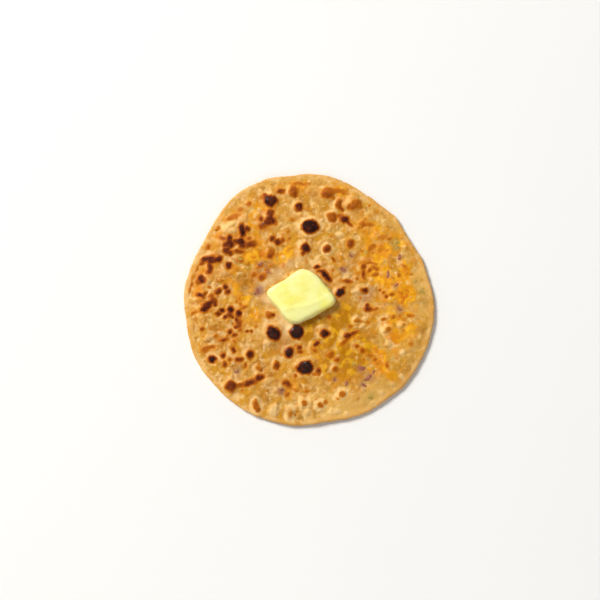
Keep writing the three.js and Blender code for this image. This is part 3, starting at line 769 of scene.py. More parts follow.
def rim_step(angle, inwards):
    """The filling stops short of the rim, and leaves a faint step in the dough there."""
    circle_x, circle_y = np.cos(angle) * STEP_CIRCLE, np.sin(angle) * STEP_CIRCLE
    strength = 0.5 + 0.5 * ruffle(circle_x, circle_y, size=3, seed=37)
    return -STEP_DEPTH * strength * bell(inwards - STEP_PLACE, STEP_WIDTH)


print("the edge wanders from %.2f to %.2f mm" % (rim_wobble(spokes).min(), rim_wobble(spokes).max()))

# %% The seam
SEAM_DEPTH, SEAM_WIDTH = 0.5, 0.3  # mm, radians round the edge's curve
SEAM_CENTRE, SEAM_WANDER = 0.15, 0.3  # radians
CRACK_DEPTH, CRACK_WIDTH = 0.6, 0.07  # mm, share of the noise's height


def rim_seam(angle, lean):
    """How deep the seam and the short dry cracks across it cut into the side."""
    x, y = on_edge(angle)
    centre = SEAM_CENTRE + SEAM_WANDER * ruffle(x, y, size=17, seed=44)
    open_here = smooth(ruffle(x, y, size=11, seed=45), -0.35, 0.3)
    seam = SEAM_DEPTH * open_here * bell(lean - centre, SEAM_WIDTH)
    dry_here = smooth(ruffle(x, y, size=20, seed=47), 0, 0.4)
    crack = CRACK_DEPTH * bell(ruffle(x, y, size=4.5, seed=46), CRACK_WIDTH) * dry_here
    return seam + crack * np.cos(lean)


print("the seam and its cracks are at most %.2f mm deep" % rim_seam(spokes, SEAM_CENTRE).max())

# %% Points of the crust: the discs and the rim
TOP_STEPS = 250
UNDERSIDE_STEPS = TOP_STEPS // 2
RIM_RINGS = 14
RIM_LEANS = np.linspace(np.pi / 2, -np.pi / 2, RIM_RINGS + 2)[1:-1]  # round the edge, top to bottom
WOBBLE_START = 0.8  # share of the radius where the disc begins to follow the edge's wobble


def disc_points(steps):
    """The grid's points inside the rounded rim, and how far each lies from the pinched edge."""
    share, angle = disc_grid(steps)
    edge = edge_radius(angle) + rim_wobble(angle) * smooth(share, WOBBLE_START, 1)
    reach = share * (edge - RIM_ROUNDING)
    return reach * np.cos(angle), reach * np.sin(angle), angle, edge - reach


def rim_points():
    """One ring for each step round the edge, from the top over the side to the underside."""
    border = -np.pi / 4 + 2 * np.pi * np.arange(4 * TOP_STEPS) / (4 * TOP_STEPS)
    angle = np.tile(border, len(RIM_LEANS))
    lean = np.repeat(RIM_LEANS, len(border))
    inwards = RIM_ROUNDING * (1 - np.cos(lean))
    reach = edge_radius(angle) + rim_wobble(angle) - inwards - rim_seam(angle, lean)
    return reach * np.cos(angle), reach * np.sin(angle), angle, inwards, lean


print("the top has", len(disc_points(TOP_STEPS)[0]), "points, the rim", len(rim_points()[0]))

# %% Heights
BUTTER_SEAT = (-6.8, 1.6, 24, 20)  # x, y, half length and half width of the dent under the pat
SEAT_SOFTENING = 0.6  # share of the relief that the butter's weight presses out
SWELL_REACH = 9  # mm from the edge where the rim's swelling has died away
FULL_DETAIL = 5  # mm from the edge where wrinkles and blisters are at full height


def butter_seat(x, y):
    """1 under the pat, 0 away from it."""
    seat_x, seat_y, half_length, half_width = BUTTER_SEAT
    return smooth(np.hypot((x - seat_x) / half_length, (y - seat_y) / half_width), 1.15, 0.8)


def full_top(x, y, angle, inwards):
    """The height of the crust's top: the plain round, the rim's unevenness and the fine relief."""
    soaked = clouds(x, y, SOAKED_AND_SHADED + MILKY, SOAKED_SEED)
    detail = crust_relief(x, y, inwards, soaked) + blister_relief(x, y, BLISTER_SEED)
    detail = detail * mix(1, 1 - SEAT_SOFTENING, butter_seat(x, y))
    relief = body_relief(x, y) * smooth(inwards, 0, RIM_SLOPE)
    plain = underside_height(angle, inwards) + thickness_at(inwards) + relief
    plain = plain + rim_swell(angle) * smooth(inwards, SWELL_REACH, RIM_ROUNDING)
    detail = detail * smooth(inwards, RIM_ROUNDING, FULL_DETAIL)
    return plain + detail + rim_step(angle, inwards)


def rim_height(angle, inwards, lean):
    """The upper half of the rim's curve swells, and the lower half lies on the underside."""
    bottom = underside_height(angle, inwards)
    top = bottom + thickness_at(inwards) + rim_swell(angle) * np.sin(lean)
    step = rim_step(angle, inwards) * np.sin(lean)
    return np.where(lean >= 0, top + step, bottom)


UNDERSIDE_LAYERS = [(12, 0.5, 71), (5, 0.25, 72)]
HOLLOW_DEPTH, HOLLOW_START = 0.3, 8  # mm, mm from the edge where hollows are at full depth


def underside_z(x, y, angle, inwards):
    """The underside lies flat on the table, with shallow hollows."""
    hollows = np.clip(0.5 + ruffles(x, y, UNDERSIDE_LAYERS), 0, 1)
    hollows = hollows * smooth(inwards, RIM_ROUNDING, HOLLOW_START)
    return underside_height(angle, inwards) + HOLLOW_DEPTH * hollows


centre = np.zeros(1)
crust_middle = full_top(centre, centre, centre, edge_radius(centre))
print("the fine crust's middle is %.1f mm high" % crust_middle[0])


# %% Faces
def ring_faces(first, ring_count, size):
    """Four-sided faces between neighbouring rings of points, numbered from first."""
    faces = []
    for ring in range(ring_count - 1):
        for spoke in range(size):
            nxt = (spoke + 1) % size
            upper, lower = first + ring * size, first + (ring + 1) * size
            faces.append((upper + spoke, lower + spoke, lower + nxt, upper + nxt))
    return faces


def stitch_top(rim_first):
    """The top grid's border meets the rim's first ring point for point."""
    border = grid_border(TOP_STEPS)
    pairs = [(spoke, (spoke + 1) % len(border)) for spoke in range(len(border))]
    return [(border[a], rim_first + a, rim_first + b, border[b]) for a, b in pairs]


def stitch_underside(last_ring, low_first):
    """The coarser underside meets every second point of the rim's last ring."""
    ring = 4 * TOP_STEPS
    border = [low_first + index for index in grid_border(UNDERSIDE_STEPS)]
    faces = []
    for k, corner in enumerate(border):
        a, b, c = (last_ring + (2 * k + step) % ring for step in range(3))
        following = border[(k + 1) % len(border)]
        faces += [(corner, b, a), (corner, following, b), (following, c, b)]
    return faces


def crust_skin(rim_first, low_first):
    ring = 4 * TOP_STEPS
    faces = grid_cells(TOP_STEPS) + ring_faces(rim_first, len(RIM_LEANS), ring)
    faces += stitch_top(rim_first) + stitch_underside(low_first - ring, low_first)
    cells = grid_cells(UNDERSIDE_STEPS, flip=True)
    return faces + [tuple(low_first + index for index in cell) for cell in cells]


print("two rings of 5 points are joined by", len(ring_faces(0, 2, 5)), "faces")


# %% The crust's mesh
def crust_mesh():
    """Points, the way each one faces, its distance from the edge, and the faces."""
    top_x, top_y, top_angle, top_in = disc_points(TOP_STEPS)
    rim_x, rim_y, rim_angle, rim_in, rim_lean = rim_points()
    low_x, low_y, low_angle, low_in = disc_points(UNDERSIDE_STEPS)
    x = np.concatenate([top_x, rim_x, low_x])
    y = np.concatenate([top_y, rim_y, low_y])
    z = np.concatenate([
        full_top(top_x, top_y, top_angle, top_in),
        rim_height(rim_angle, rim_in, rim_lean),
        underside_z(low_x, low_y, low_angle, low_in),
    ])
    facing = np.concatenate([np.ones(len(top_x)), np.sin(rim_lean), -np.ones(len(low_x))])
    inwards = np.concatenate([top_in, rim_in, low_in])
    faces = crust_skin(rim_first=len(top_x), low_first=len(top_x) + len(rim_x))
    return x, y, z, facing, inwards, faces


def make_piece(name, x, y, z, faces):
    """A mesh object in the packed part's frame, from points in millimetres."""
    points = np.column_stack([x - MIDDLE_X, y - MIDDLE_Y, z]) * MM
    mesh = bpy.data.meshes.new(name)
    mesh.from_pydata(points.tolist(), [], faces)
    mesh.validate()
    mesh.shade_smooth()
    piece = bpy.data.objects.new(name, mesh)
    bpy.context.scene.collection.objects.link(piece)
    return piece


crust_x, crust_y, crust_z, crust_facing, crust_in, crust_faces = crust_mesh()
crust = make_piece("paratha_crust", crust_x, crust_y, crust_z, crust_faces)
triangles = sum(len(face) - 2 for face in crust_faces)
print("crust: %d points, %d triangles" % (len(crust_x), triangles))
print("the crust's highest point is %.1f mm above the table" % crust_z.max())

# %% [markdown]
# ## Masks on the crust
# Each mask is stored on the mesh as a named attribute, one number for each point. The material
# reads them by name. Painting by hand in texture paint would also work, but attributes stay
# editable: move a spot's row above and the paint and the relief move together. The underside
# is fried as well. It is given larger spots of its own, all scattered at random, because a bread
# is served with that side down.

# %% The underside's own spots and stains
UNDERSIDE_BLISTERS, UNDERSIDE_PINPRICKS = 150, 260
GOLD_UNDER, GOLD_WIDTH, GOLD_STRENGTH = 60, 3, 0.4  # count, spot widths, strength
underside_spots = scattered_spots(UNDERSIDE_BLISTERS, 81, sizes=(1.2, 4.6), tones=(0.4, 0.95))
underside_spots += scattered_spots(UNDERSIDE_PINPRICKS, 82, sizes=(0.5, 1.2), tones=(0.25, 0.6))
underside_gold = [
    (x, y, GOLD_WIDTH * half, GOLD_STRENGTH) for x, y, half, *_ in underside_spots[:GOLD_UNDER]
]
print(len(underside_spots), "spots on the underside in all")


# %% Store the masks
def store(piece, name, values):
    attribute = piece.data.attributes.new(name, "FLOAT", "POINT")
    attribute.data.foreach_set("value", values.astype(np.float32))
    print("%-9s mean %.3f, highest %.2f" % (name, values.mean(), values.max()))


FACING_FADE = (0.2, 0.9)  # how squarely a point must face up or down to take that side's paint
OFF_RIM = (1.5, 5)  # mm from the edge over which the griddle's marks begin
RIM_SCORCH = 0.3  # share of the scorch that still reaches the rim
PEAK_HEIGHT = 0.6  # mm, where a pucker counts as a full peak
RIM_PALE = (5.5, 1)  # mm from the edge where the rim's own colour starts and is full
RIM_WANDER = 1.4  # mm that this line moves in and out

on_top = smooth(crust_facing, *FACING_FADE)
below = smooth(-crust_facing, *FACING_FADE)
off_rim = smooth(crust_in, *OFF_RIM)
top_scorch = spot_scorch(crust_x, crust_y, top_spots, BLISTER_SEED)
top_scorch = top_scorch * on_top * mix(RIM_SCORCH, 1, off_rim)
underside_scorch = spot_scorch(crust_x, crust_y, underside_spots, UNDERSIDE_SEED) * below * off_rim
store(crust, "scorch", top_scorch + underside_scorch)
store(crust, "toasted", toasted_glow(crust_x, crust_y, PLACED_SPOTS) * on_top * off_rim)
store(crust, "peak", smooth(puckered(crust_x, crust_y), -PEAK_HEIGHT, PEAK_HEIGHT) * off_rim)
# The pale mask holds pale dough and the painted highlights on the blisters' lit flanks.
store(crust, "pale", paleness_and_highlight(crust_x, crust_y, BLISTER_SEED) * on_top)
rim_noise = RIM_WANDER * ruffle(crust_x, crust_y, size=9, seed=57)
store(crust, "rim", smooth(crust_in + rim_noise, *RIM_PALE))

# %% Store the clouds
gold_on_top = clouds(crust_x, crust_y, TURMERIC, 52) * on_top
store(crust, "gold", gold_on_top + clouds(crust_x, crust_y, underside_gold, 53) * below)
store(crust, "calm", calmness(crust_x, crust_y) * on_top)
cloud_lists = {
    "untouched": (UNTOUCHED, CALM_SEED), "tanned": (TANNED_AND_SHADED, 50), "soaked": (SOAKED_AND_SHADED, SOAKED_SEED),
    "milky": (MILKY, 54), "greased": (GREASED, 59), "lilac": (LILAC, 55), "leafy": (LEAFY, 56),
}
for mask_name, (rows, cloud_seed) in cloud_lists.items():
    store(crust, mask_name, clouds(crust_x, crust_y, rows, cloud_seed) * on_top)

# %% [markdown]
# ## A short hand for materials
# A material is a graph, and wiring one node at a time hides the recipe. The three classes below
# give each kind of node one short method, so that the recipes read like instructions for mixing
# paint: sums first, then the things to mix by, then the coats and the finish. Colours are
# written the way a paint chart gives them, 0 to 255, and are turned into the linear light that a
# renderer mixes.


# %% Paint, and sums of numbers
def paint(red, green, blue):
    """A paint chart's colour in linear light, with full cover."""
    channels = [value / 255 for value in (red, green, blue)]
    linear = [c / 12.92 if c <= 0.04045 else ((c + 0.055) / 1.055) ** 2.4 for c in channels]
    return (*linear, 1)


class Sums:
    """A new material, and the nodes that work numbers out."""

    def __init__(self, name):
        self.material = bpy.data.materials.new(name)
        self.material.use_nodes = True
        self.tree = self.material.node_tree
        self.shader = self.tree.nodes["Principled BSDF"]
        self.place = self.tree.nodes.new("ShaderNodeTexCoord").outputs["Object"]

    def feed(self, socket, value):
        """Link a socket to another one's value, or give it a plain value."""
        if isinstance(value, bpy.types.NodeSocket):
            self.tree.links.new(value, socket)
        else:
            socket.default_value = value

    def math(self, operation, a, b):
        node = self.tree.nodes.new("ShaderNodeMath")
        node.operation = operation
        self.feed(node.inputs[0], a)
        self.feed(node.inputs[1], b)
        return node.outputs[0]

    def plus(self, a, b):
        return self.math("ADD", a, b)

    def times(self, a, b):
        return self.math("MULTIPLY", a, b)

    def step(self, value, start, stop, low=0.0, high=1.0):
        """An S-shaped step from low to high as value goes from start to stop."""
        node = self.tree.nodes.new("ShaderNodeMapRange")
        node.interpolation_type = "SMOOTHSTEP"
        limits = (value, start, stop, low, high)
        for socket, limit in zip(("Value", "From Min", "From Max", "To Min", "To Max"), limits):
            self.feed(node.inputs[socket], limit)
        return node.outputs["Result"]


print("half grey, 128, is %.3f in linear light" % paint(128, 128, 128)[0])


# %% Masks and noise to mix by
class Sources(Sums):
    def mask(self, name, strength=1):
        """A mask stored on the mesh, at full strength or weaker."""
        node = self.tree.nodes.new("ShaderNodeAttribute")
        node.attribute_name = name
        return node.outputs["Fac"] if strength == 1 else self.times(node.outputs["Fac"], strength)

    def noise(self, size, detail=2, rough=0.5, shift=0, stretch=(1, 1, 1)):
        """Noise from 0 to 1 with features about size mm across."""
        mapping = self.tree.nodes.new("ShaderNodeMapping")
        self.tree.links.new(self.place, mapping.inputs["Vector"])
        mapping.inputs["Location"].default_value = (shift, 0.37 * shift, 0.71 * shift)
        mapping.inputs["Scale"].default_value = stretch
        node = self.tree.nodes.new("ShaderNodeTexNoise")
        self.tree.links.new(mapping.outputs["Vector"], node.inputs["Vector"])
        node.inputs["Scale"].default_value = 1 / (size * MM)
        node.inputs["Detail"].default_value = detail
        node.inputs["Roughness"].default_value = rough
        return node.outputs["Fac"]

    def grains(self, size, shift=0):
        """Distance to scattered points about size mm apart, and a random number for each."""
        mapping = self.tree.nodes.new("ShaderNodeMapping")
        self.tree.links.new(self.place, mapping.inputs["Vector"])
        mapping.inputs["Location"].default_value = (shift, 0.41 * shift, 0)
        node = self.tree.nodes.new("ShaderNodeTexVoronoi")
        self.tree.links.new(mapping.outputs["Vector"], node.inputs["Vector"])
        node.inputs["Scale"].default_value = 1 / (size * MM)
        split = self.tree.nodes.new("ShaderNodeSeparateColor")
        self.tree.links.new(node.outputs["Color"], split.inputs["Color"])
        return node.outputs["Distance"], split.outputs["Red"]


print("a noise with features of 5 mm has a scale of", 1 / (5 * MM))


# %% Coats, bumps and the finish
class Recipe(Sources):
    def coat(self, under, over, share):
        """The colour over laid on the colour under, by share."""
        node = self.tree.nodes.new("ShaderNodeMix")
        node.data_type = "RGBA"
        self.feed(node.inputs["Factor"], share)
        self.feed(node.inputs[6], under)  # 6 and 7 are the colour kind of the inputs A and B
        self.feed(node.inputs[7], over)
        return node.outputs[2]  # the colour kind of the result

    def chart(self, value, stops):
        """A colour looked up from value in stops of (place, colour)."""
        node = self.tree.nodes.new("ShaderNodeValToRGB")
        ramp = node.color_ramp
        for place, _ in stops[1:-1]:
            ramp.elements.new(place)
        for element, (place, tint) in zip(ramp.elements, stops):
            element.position = place
            element.color = tint
        self.feed(node.inputs["Fac"], value)
        return node.outputs["Color"]

    def bump(self, height, depth, under=None):
        """A bump of depth mm, on top of another bump if one is given."""
        node = self.tree.nodes.new("ShaderNodeBump")
        node.inputs["Distance"].default_value = depth * MM
        self.feed(node.inputs["Height"], height)
        if under is not None:
            self.tree.links.new(under, node.inputs["Normal"])
        return node.outputs["Normal"]

    def finish(self, colour, roughness, normal, **settings):
        """Wire the shader, set its plain settings, and hand the material over."""
        self.feed(self.shader.inputs["Base Color"], colour)
        self.feed(self.shader.inputs["Roughness"], roughness)
        self.tree.links.new(normal, self.shader.inputs["Normal"])
        for name, value in settings.items():
            self.shader.inputs[name.replace("_", " ")].default_value = value
        print(self.material.name, "uses", len(self.tree.nodes), "nodes")
        return self.material


own_methods = [name for name in vars(Recipe) if not name.startswith("_")]
print("a recipe's last steps:", ", ".join(own_methods))

# %% [markdown]
# ## Fried dough
# Fried wholemeal dough is never one colour. A few coats laid with even noise would give a biscuit,
# not this bread, so the recipe follows the pan instead, though a few of its coats are painted light
# and shade. First comes plain dough, mottled between buff, tan and ochre, with bran specks and pale
# crumbs. Then come gold from the filling, toast round the hot spots, the wet patch, the pale rim
# and blisters, whose flanks facing the lamp are painted highlight, and the film of butter. Darker
# clouds and the wet patch are painted shade where they lie against the pat's lower right side. The
# scorch comes last, because burning happens on top of everything, and sits towards each blister's
# lower right as painted shade.
# Dry crust is dull, soaked crust has a low sheen, and standing butter adds a clear wet coat.

# %% Plain dough
BUFF, TAN, OCHRE = paint(216, 165, 77), paint(176, 112, 25), paint(209, 145, 25)
CREAM, RAW, BRAN = paint(248, 206, 136), paint(234, 182, 94), paint(140, 82, 16)


def plain_dough(mixing):
    """Buff with tan and ochre mottling, cream in the hollows and crumbs, and flecks of bran."""
    broad = mixing.noise(26, detail=2, shift=1)
    mottle = mixing.noise(5, detail=3, rough=0.55, shift=2)
    uneven = mixing.times(mixing.step(mottle, 0.41, 0.64), mixing.step(broad, 0.4, 0.6, 0.45, 1))
    dough = mixing.coat(BUFF, TAN, uneven)
    haze = mixing.noise(8, detail=3, rough=0.55, shift=15)
    dough = mixing.coat(dough, OCHRE, mixing.step(haze, 0.46, 0.6, 0, 0.85))
    dough = mixing.coat(dough, TAN, mixing.step(mixing.mask("peak"), 0.55, 0.95, 0, 0.45))
    hollows = mixing.times(mixing.step(mixing.mask("peak"), 0.5, 0.1), mixing.step(haze, 0.58, 0.44))
    dough = mixing.coat(dough, CREAM, mixing.times(hollows, 0.7))
    # Darker clouds; the one against the pat's lower right side is painted shade.
    dough = mixing.coat(dough, TAN, mixing.mask("tanned", 0.75))
    dough = mixing.coat(dough, RAW, mixing.mask("untouched", 0.85))
    crumbs = mixing.step(mixing.noise(2.8, detail=3, rough=0.55, shift=3), 0.58, 0.7)
    dough = mixing.coat(dough, CREAM, mixing.times(crumbs, 0.6))
    distance, luck = mixing.grains(2.1, shift=4)
    fleck = mixing.times(mixing.step(distance, 0.34, 0.14), mixing.step(luck, 0.75, 0.9))
    return mixing.coat(dough, BRAN, mixing.times(fleck, 0.45))


print("plain dough runs from", [round(c, 3) for c in CREAM[:3]], "to", [round(c, 3) for c in BRAN[:3]])

# %% Gold from the filling, and toast
GOLD, YOLK, AMBER = paint(228, 150, 16), paint(244, 180, 26), paint(208, 116, 12)
TOAST = paint(204, 112, 26)


def gilded(mixing, dough, patches, speckle):
    """Gold where turmeric shows, with yellow flecks and deep orange embers, then the toast."""
    gold = mixing.times(mixing.mask("gold"), mixing.step(patches, 0.38, 0.56, 0.15, 1.1))
    gold = mixing.times(gold, mixing.step(mixing.mask("untouched"), 0, 1, 1, 0.3))
    dough = mixing.coat(dough, GOLD, mixing.step(gold, 0.05, 0.55))
    yolk = mixing.times(mixing.step(gold, 0.15, 0.6), mixing.step(speckle, 0.56, 0.38, 0, 0.8))
    dough = mixing.coat(dough, YOLK, yolk)
    coals = mixing.noise(9, detail=3, rough=0.6, shift=16)
    embers = mixing.times(mixing.plus(gold, 0.12), mixing.step(coals, 0.49, 0.62))
    dough = mixing.coat(dough, AMBER, mixing.times(embers, 0.85))
    toast = mixing.times(mixing.mask("toasted"), mixing.step(patches, 0.36, 0.62, 0.25, 1))
    return mixing.coat(dough, TOAST, mixing.times(toast, 0.8))


print("turmeric's gold in linear light:", [round(c, 3) for c in GOLD[:3]])

# %% Stains of butter and herbs, and the pale places
MUSTARD, MILK = paint(184, 119, 2), paint(226, 190, 136)
ONION_STAIN, HERB_STAIN = paint(152, 114, 104), paint(164, 142, 66)
RIM_BUFF = paint(222, 164, 84)


def soaked_dough(mixing, dough, patches, speckle):
    """Mustard where melted butter sank in, with yellow drops of it still standing; beside the pat's lower
    right side the mustard is also painted shade.
    """
    soaked = mixing.times(mixing.mask("soaked"), mixing.step(patches, 0.3, 0.62, 0.65, 1))
    dough = mixing.coat(dough, MUSTARD, mixing.step(soaked, 0.05, 0.7, 0, 0.92))
    drops = mixing.times(mixing.step(soaked, 0.2, 0.6), mixing.step(speckle, 0.52, 0.36))
    return mixing.coat(dough, YOLK, mixing.times(drops, 0.65))


def pale_places(mixing, dough, speckle):
    """The dry rim, and the flanks of the blisters: pale dough, with painted highlights on the sides facing
    the lamp.
    """
    rim = mixing.times(mixing.mask("rim"), mixing.step(speckle, 0.36, 0.6, 0.85, 0.45))
    dough = mixing.coat(dough, RIM_BUFF, rim)
    pale = mixing.times(mixing.mask("pale"), mixing.step(speckle, 0.66, 0.42, 0.5, 0.9))
    return mixing.coat(dough, CREAM, pale)


def stained(mixing, dough):
    """Everything that colours the dough except burning."""
    patches = mixing.noise(8, detail=3, rough=0.5, shift=5)
    speckle = mixing.noise(5.5, detail=3, rough=0.42, shift=6)
    dough = gilded(mixing, dough, patches, speckle)
    dough = soaked_dough(mixing, dough, patches, speckle)
    dough = mixing.coat(dough, HERB_STAIN, mixing.mask("leafy", 0.75))
    dough = pale_places(mixing, dough, speckle)
    # A second, browner coat on the darker clouds; against the pat's lower right side it deepens the painted
    # shade.
    dough = mixing.coat(dough, BRAN, mixing.mask("tanned", 0.16))
    dough = mixing.coat(dough, MILK, mixing.mask("milky", 0.85))
    return mixing.coat(dough, ONION_STAIN, mixing.mask("lilac", 0.9))


print("soaked dough in linear light:", [round(c, 3) for c in MUSTARD[:3]])

# %% The scorch's colours
SCORCH_CHART = [  # how burnt, and its colour, from toast to char
    (0.0, paint(214, 144, 42)), (0.22, paint(204, 124, 22)), (0.43, paint(184, 100, 8)),
    (0.62, paint(157, 77, 4)), (0.77, paint(124, 52, 4)), (0.89, paint(88, 30, 4)),
    (0.97, paint(62, 19, 4)), (1.0, paint(44, 13, 4)),
]


def scorched(mixing, dough):
    """The dough with its burnt spots, and how burnt it is, for the gloss."""
    fine = mixing.noise(1.3, detail=3, rough=0.6, shift=7)
    blotch = mixing.noise(3.5, detail=2, shift=10)
    burn = mixing.mask("scorch")
    ragged = mixing.times(mixing.step(burn, 0.05, 0.35, 0, 0.34), mixing.step(burn, 0.7, 0.97, 1, 0.3))
    uneven = mixing.times(mixing.math("SUBTRACT", fine, 0.5), ragged)
    burn = mixing.plus(mixing.times(burn, mixing.step(blotch, 0.3, 0.62, 0.92, 1.05)), uneven)
    scorch = mixing.chart(burn, SCORCH_CHART)
    return mixing.coat(dough, scorch, mixing.step(burn, 0.05, 0.3)), burn


print("the scorch runs through", len(SCORCH_CHART), "colours")


# %% The crust's material
def fried_dough():
    """All the coats, then pores and grain too fine for the mesh, then the sheen."""
    mixing = Recipe("baked_dough")
    dough, burn = scorched(mixing, stained(mixing, plain_dough(mixing)))
    pores = mixing.noise(1.6, detail=3, rough=0.55, shift=8)
    grain = mixing.noise(0.45, detail=2, shift=9)
    wet = mixing.math("MAXIMUM", mixing.mask("soaked"), mixing.mask("milky"))
    dull = mixing.step(wet, 0.1, 0.8, 0.55, 0.3)
    dull = mixing.plus(dull, mixing.step(grain, 0.3, 0.7, -0.06, 0.08))
    roughness = mixing.plus(dull, mixing.times(mixing.step(burn, 0.5, 0.9), 0.2))
    pores = mixing.times(pores, mixing.step(mixing.mask("calm"), 0, 0.9, 1, 0.4))
    surface = mixing.bump(pores, 0.4)
    surface = mixing.bump(grain, 0.1, surface)
    mixing.feed(mixing.shader.inputs["Coat Weight"], mixing.mask("greased", 0.55))
    return mixing.finish(dough, roughness, surface, Specular_IOR_Level=0.14, Coat_Roughness=0.28)


crust.data.materials.append(fried_dough())
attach(crust, "root")
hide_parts("paratha")

# %% [markdown]
# ## The butter
# The pat is a thick square slice, laid on the hot bread and already soft: its sides have slumped,
# its corners are round, a fold runs along its lower side, and the knife has left shallow drags
# across its top. A cube with a bevel would stay too even, so the pat is lofted in rings from
# its foot over its shoulder to the middle of its top, following the packed part's own profile,
# and then pushed about by noise.

# %% The pat's outline and profile
BUTTER_HEIGHT, BUTTER_GAP = 8.4, 0.3
BUTTER_CORNERS = [(-32.8, 3.9, 6), (-12.2, -21.4, 9), (21.6, -3.3, 7), (-2, 26.2, 17)]  # x, y, cut
SIDE_INSET = [0.3, 0, 0.15, 0.45, 0.95, 1.9, 3.6]
SIDE_RISE = [0, 0.13, 0.38, 0.66, 0.84, 0.95, 1]
SAG_DEPTH, SAG_ACROSS, SAG_WAVELENGTH = 0.35, 60, 31
BUTTER_SPOKES = 220
CORNER_STEPS = 24


def rounded_outline(corners, count):
    """Points at even steps along a polygon whose corners are rounded off."""
    points = np.array([(x, y) for x, y, _ in corners], float)
    path = []
    for i, (_, _, cut) in enumerate(corners):
        here, before, after = points[i], points[i - 1], points[(i + 1) % len(points)]
        start = here + (before - here) / np.linalg.norm(before - here) * cut
        end = here + (after - here) / np.linalg.norm(after - here) * cut
        for t in np.linspace(0, 1, CORNER_STEPS):
            path.append((1 - t) ** 2 * start + 2 * t * (1 - t) * here + t * t * end)
    path = np.array(path + path[:1])
    travelled = np.concatenate([[0], np.cumsum(np.linalg.norm(np.diff(path, axis=0), axis=1))])
    stops = np.linspace(0, travelled[-1], count, endpoint=False)
    return np.interp(stops, travelled, path[:, 0]), np.interp(stops, travelled, path[:, 1])


pat_x, pat_y = rounded_outline(BUTTER_CORNERS, BUTTER_SPOKES)
pat_centre = np.array([pat_x.mean(), pat_y.mean()])
print("pat outline %.1f by %.1f mm" % (np.ptp(pat_x), np.ptp(pat_y)))


# %% The pat's rings
UNDER_RINGS, SIDE_RINGS, OVER_RINGS = 8, 30, 34


def butter_rings():
    """Insets in mm, shrinking shares and rises for each ring, from under the foot to the middle."""
    t = np.linspace(0, len(SIDE_INSET) - 1, SIDE_RINGS)
    side_inset = np.interp(t, range(len(SIDE_INSET)), SIDE_INSET)
    side_rise = np.interp(t, range(len(SIDE_RISE)), SIDE_RISE)
    rings = [(SIDE_INSET[0], share, 0) for share in np.linspace(0.12, 0.94, UNDER_RINGS)]
    rings += [(inset, 1, rise) for inset, rise in zip(side_inset, side_rise)]
    rings += [(SIDE_INSET[-1], share, 1) for share in np.linspace(0.97, 0.03, OVER_RINGS)]
    return rings


def butter_points():
    """The rings' points, and how high each stands between the foot, 0, and the top, 1."""
    columns = []
    for inset, share, rise in butter_rings():
        away_x, away_y = pat_x - pat_centre[0], pat_y - pat_centre[1]
        length = np.hypot(away_x, away_y)
        keep = share * (1 - inset / length)
        level = np.full_like(pat_x, rise)
        columns.append((pat_centre[0] + away_x * keep, pat_centre[1] + away_y * keep, level))
    return [np.concatenate(column) for column in zip(*columns)]


print("the pat is lofted in", len(butter_rings()), "rings of", BUTTER_SPOKES, "points")

# %% The top of the pat
KNIFE_DRAG, DRAG_STRETCH = 32, 0.3  # degrees, the way the knife went, and how long its marks are
DRAG_LAYERS = [(5, 0.1, 101), (2, 0.03, 102)]  # size, height, seed
SOFT_LAYERS = [(15, 0.35, 103), (6.5, 0.14, 104)]
BUTTER_FOLD = [(-18, -9.5, 3, -5), (3, -5, 13, 0.5)]  # from x, y to x, y, along the lower side
FOLD_HEIGHT, FOLD_WIDTH = 0.35, 1.7
EDGE_DROOP, DROOP_START, DROOP_RUFFLE = 0.5, 0.4, 0.8  # mm, share of the reach, unevenness


def butter_fold(x, y):
    """A low ridge along the line of the fold."""
    fold = 0
    for low_x, low_y, high_x, high_y in BUTTER_FOLD:
        run_x, run_y = high_x - low_x, high_y - low_y
        share = np.clip(((x - low_x) * run_x + (y - low_y) * run_y) / (run_x**2 + run_y**2), 0, 1)
        off = np.hypot(x - low_x - share * run_x, y - low_y - share * run_y)
        fold = np.maximum(fold, FOLD_HEIGHT * bell(off, FOLD_WIDTH))
    return fold


def butter_top(x, y, out):
    """The height of the pat's top; out is 0 in its middle and 1 at its outline."""
    turn, across = math.radians(KNIFE_DRAG), math.radians(SAG_ACROSS)
    drag_x = x * math.cos(turn) + y * math.sin(turn)
    drag_y = y * math.cos(turn) - x * math.sin(turn)
    drags = ruffles(drag_x * DRAG_STRETCH, drag_y, DRAG_LAYERS)
    wave = 2 * np.pi * (x * math.cos(across) + y * math.sin(across)) / SAG_WAVELENGTH
    uneven = 1 + DROOP_RUFFLE * ruffle(x, y, size=16, seed=108)
    droop = EDGE_DROOP * smooth(out, DROOP_START, 1) * uneven
    lies_at = plain_top(pat_centre[:1], pat_centre[1:])[0] + BUTTER_GAP
    relief = drags + butter_fold(x, y) + ruffles(x, y, SOFT_LAYERS)
    return lies_at + BUTTER_HEIGHT - SAG_DEPTH * np.sin(wave) - droop + relief


pat_middle = butter_top(pat_centre[:1], pat_centre[1:], np.zeros(1))
print("middle of the pat: %.1f mm high" % pat_middle[0])

# %% The pat's mesh
SIDE_LAYERS = [(13, 0.25, 109), (5, 0.25, 106)]  # size, swelling, seed
MELT_SPREAD, MELT_TOP, MELT_MEAN = 0.9, 0.3, 0.6  # mm, share of the height, mean of its unevenness
DENT = (-19.5, 17.5, 8, 1.6)  # x, y, width and depth of the hollow in the pat's upper left side
PUSH_FADE = (4, 14)  # mm from the middle over which the sides' unevenness begins
FOOT_SINK = 0.12  # mm that the melted foot sinks into the crust


def crust_top_at(x, y):
    angle = np.arctan2(y, x)
    return full_top(x, y, angle, edge_radius(angle) - np.hypot(x, y))


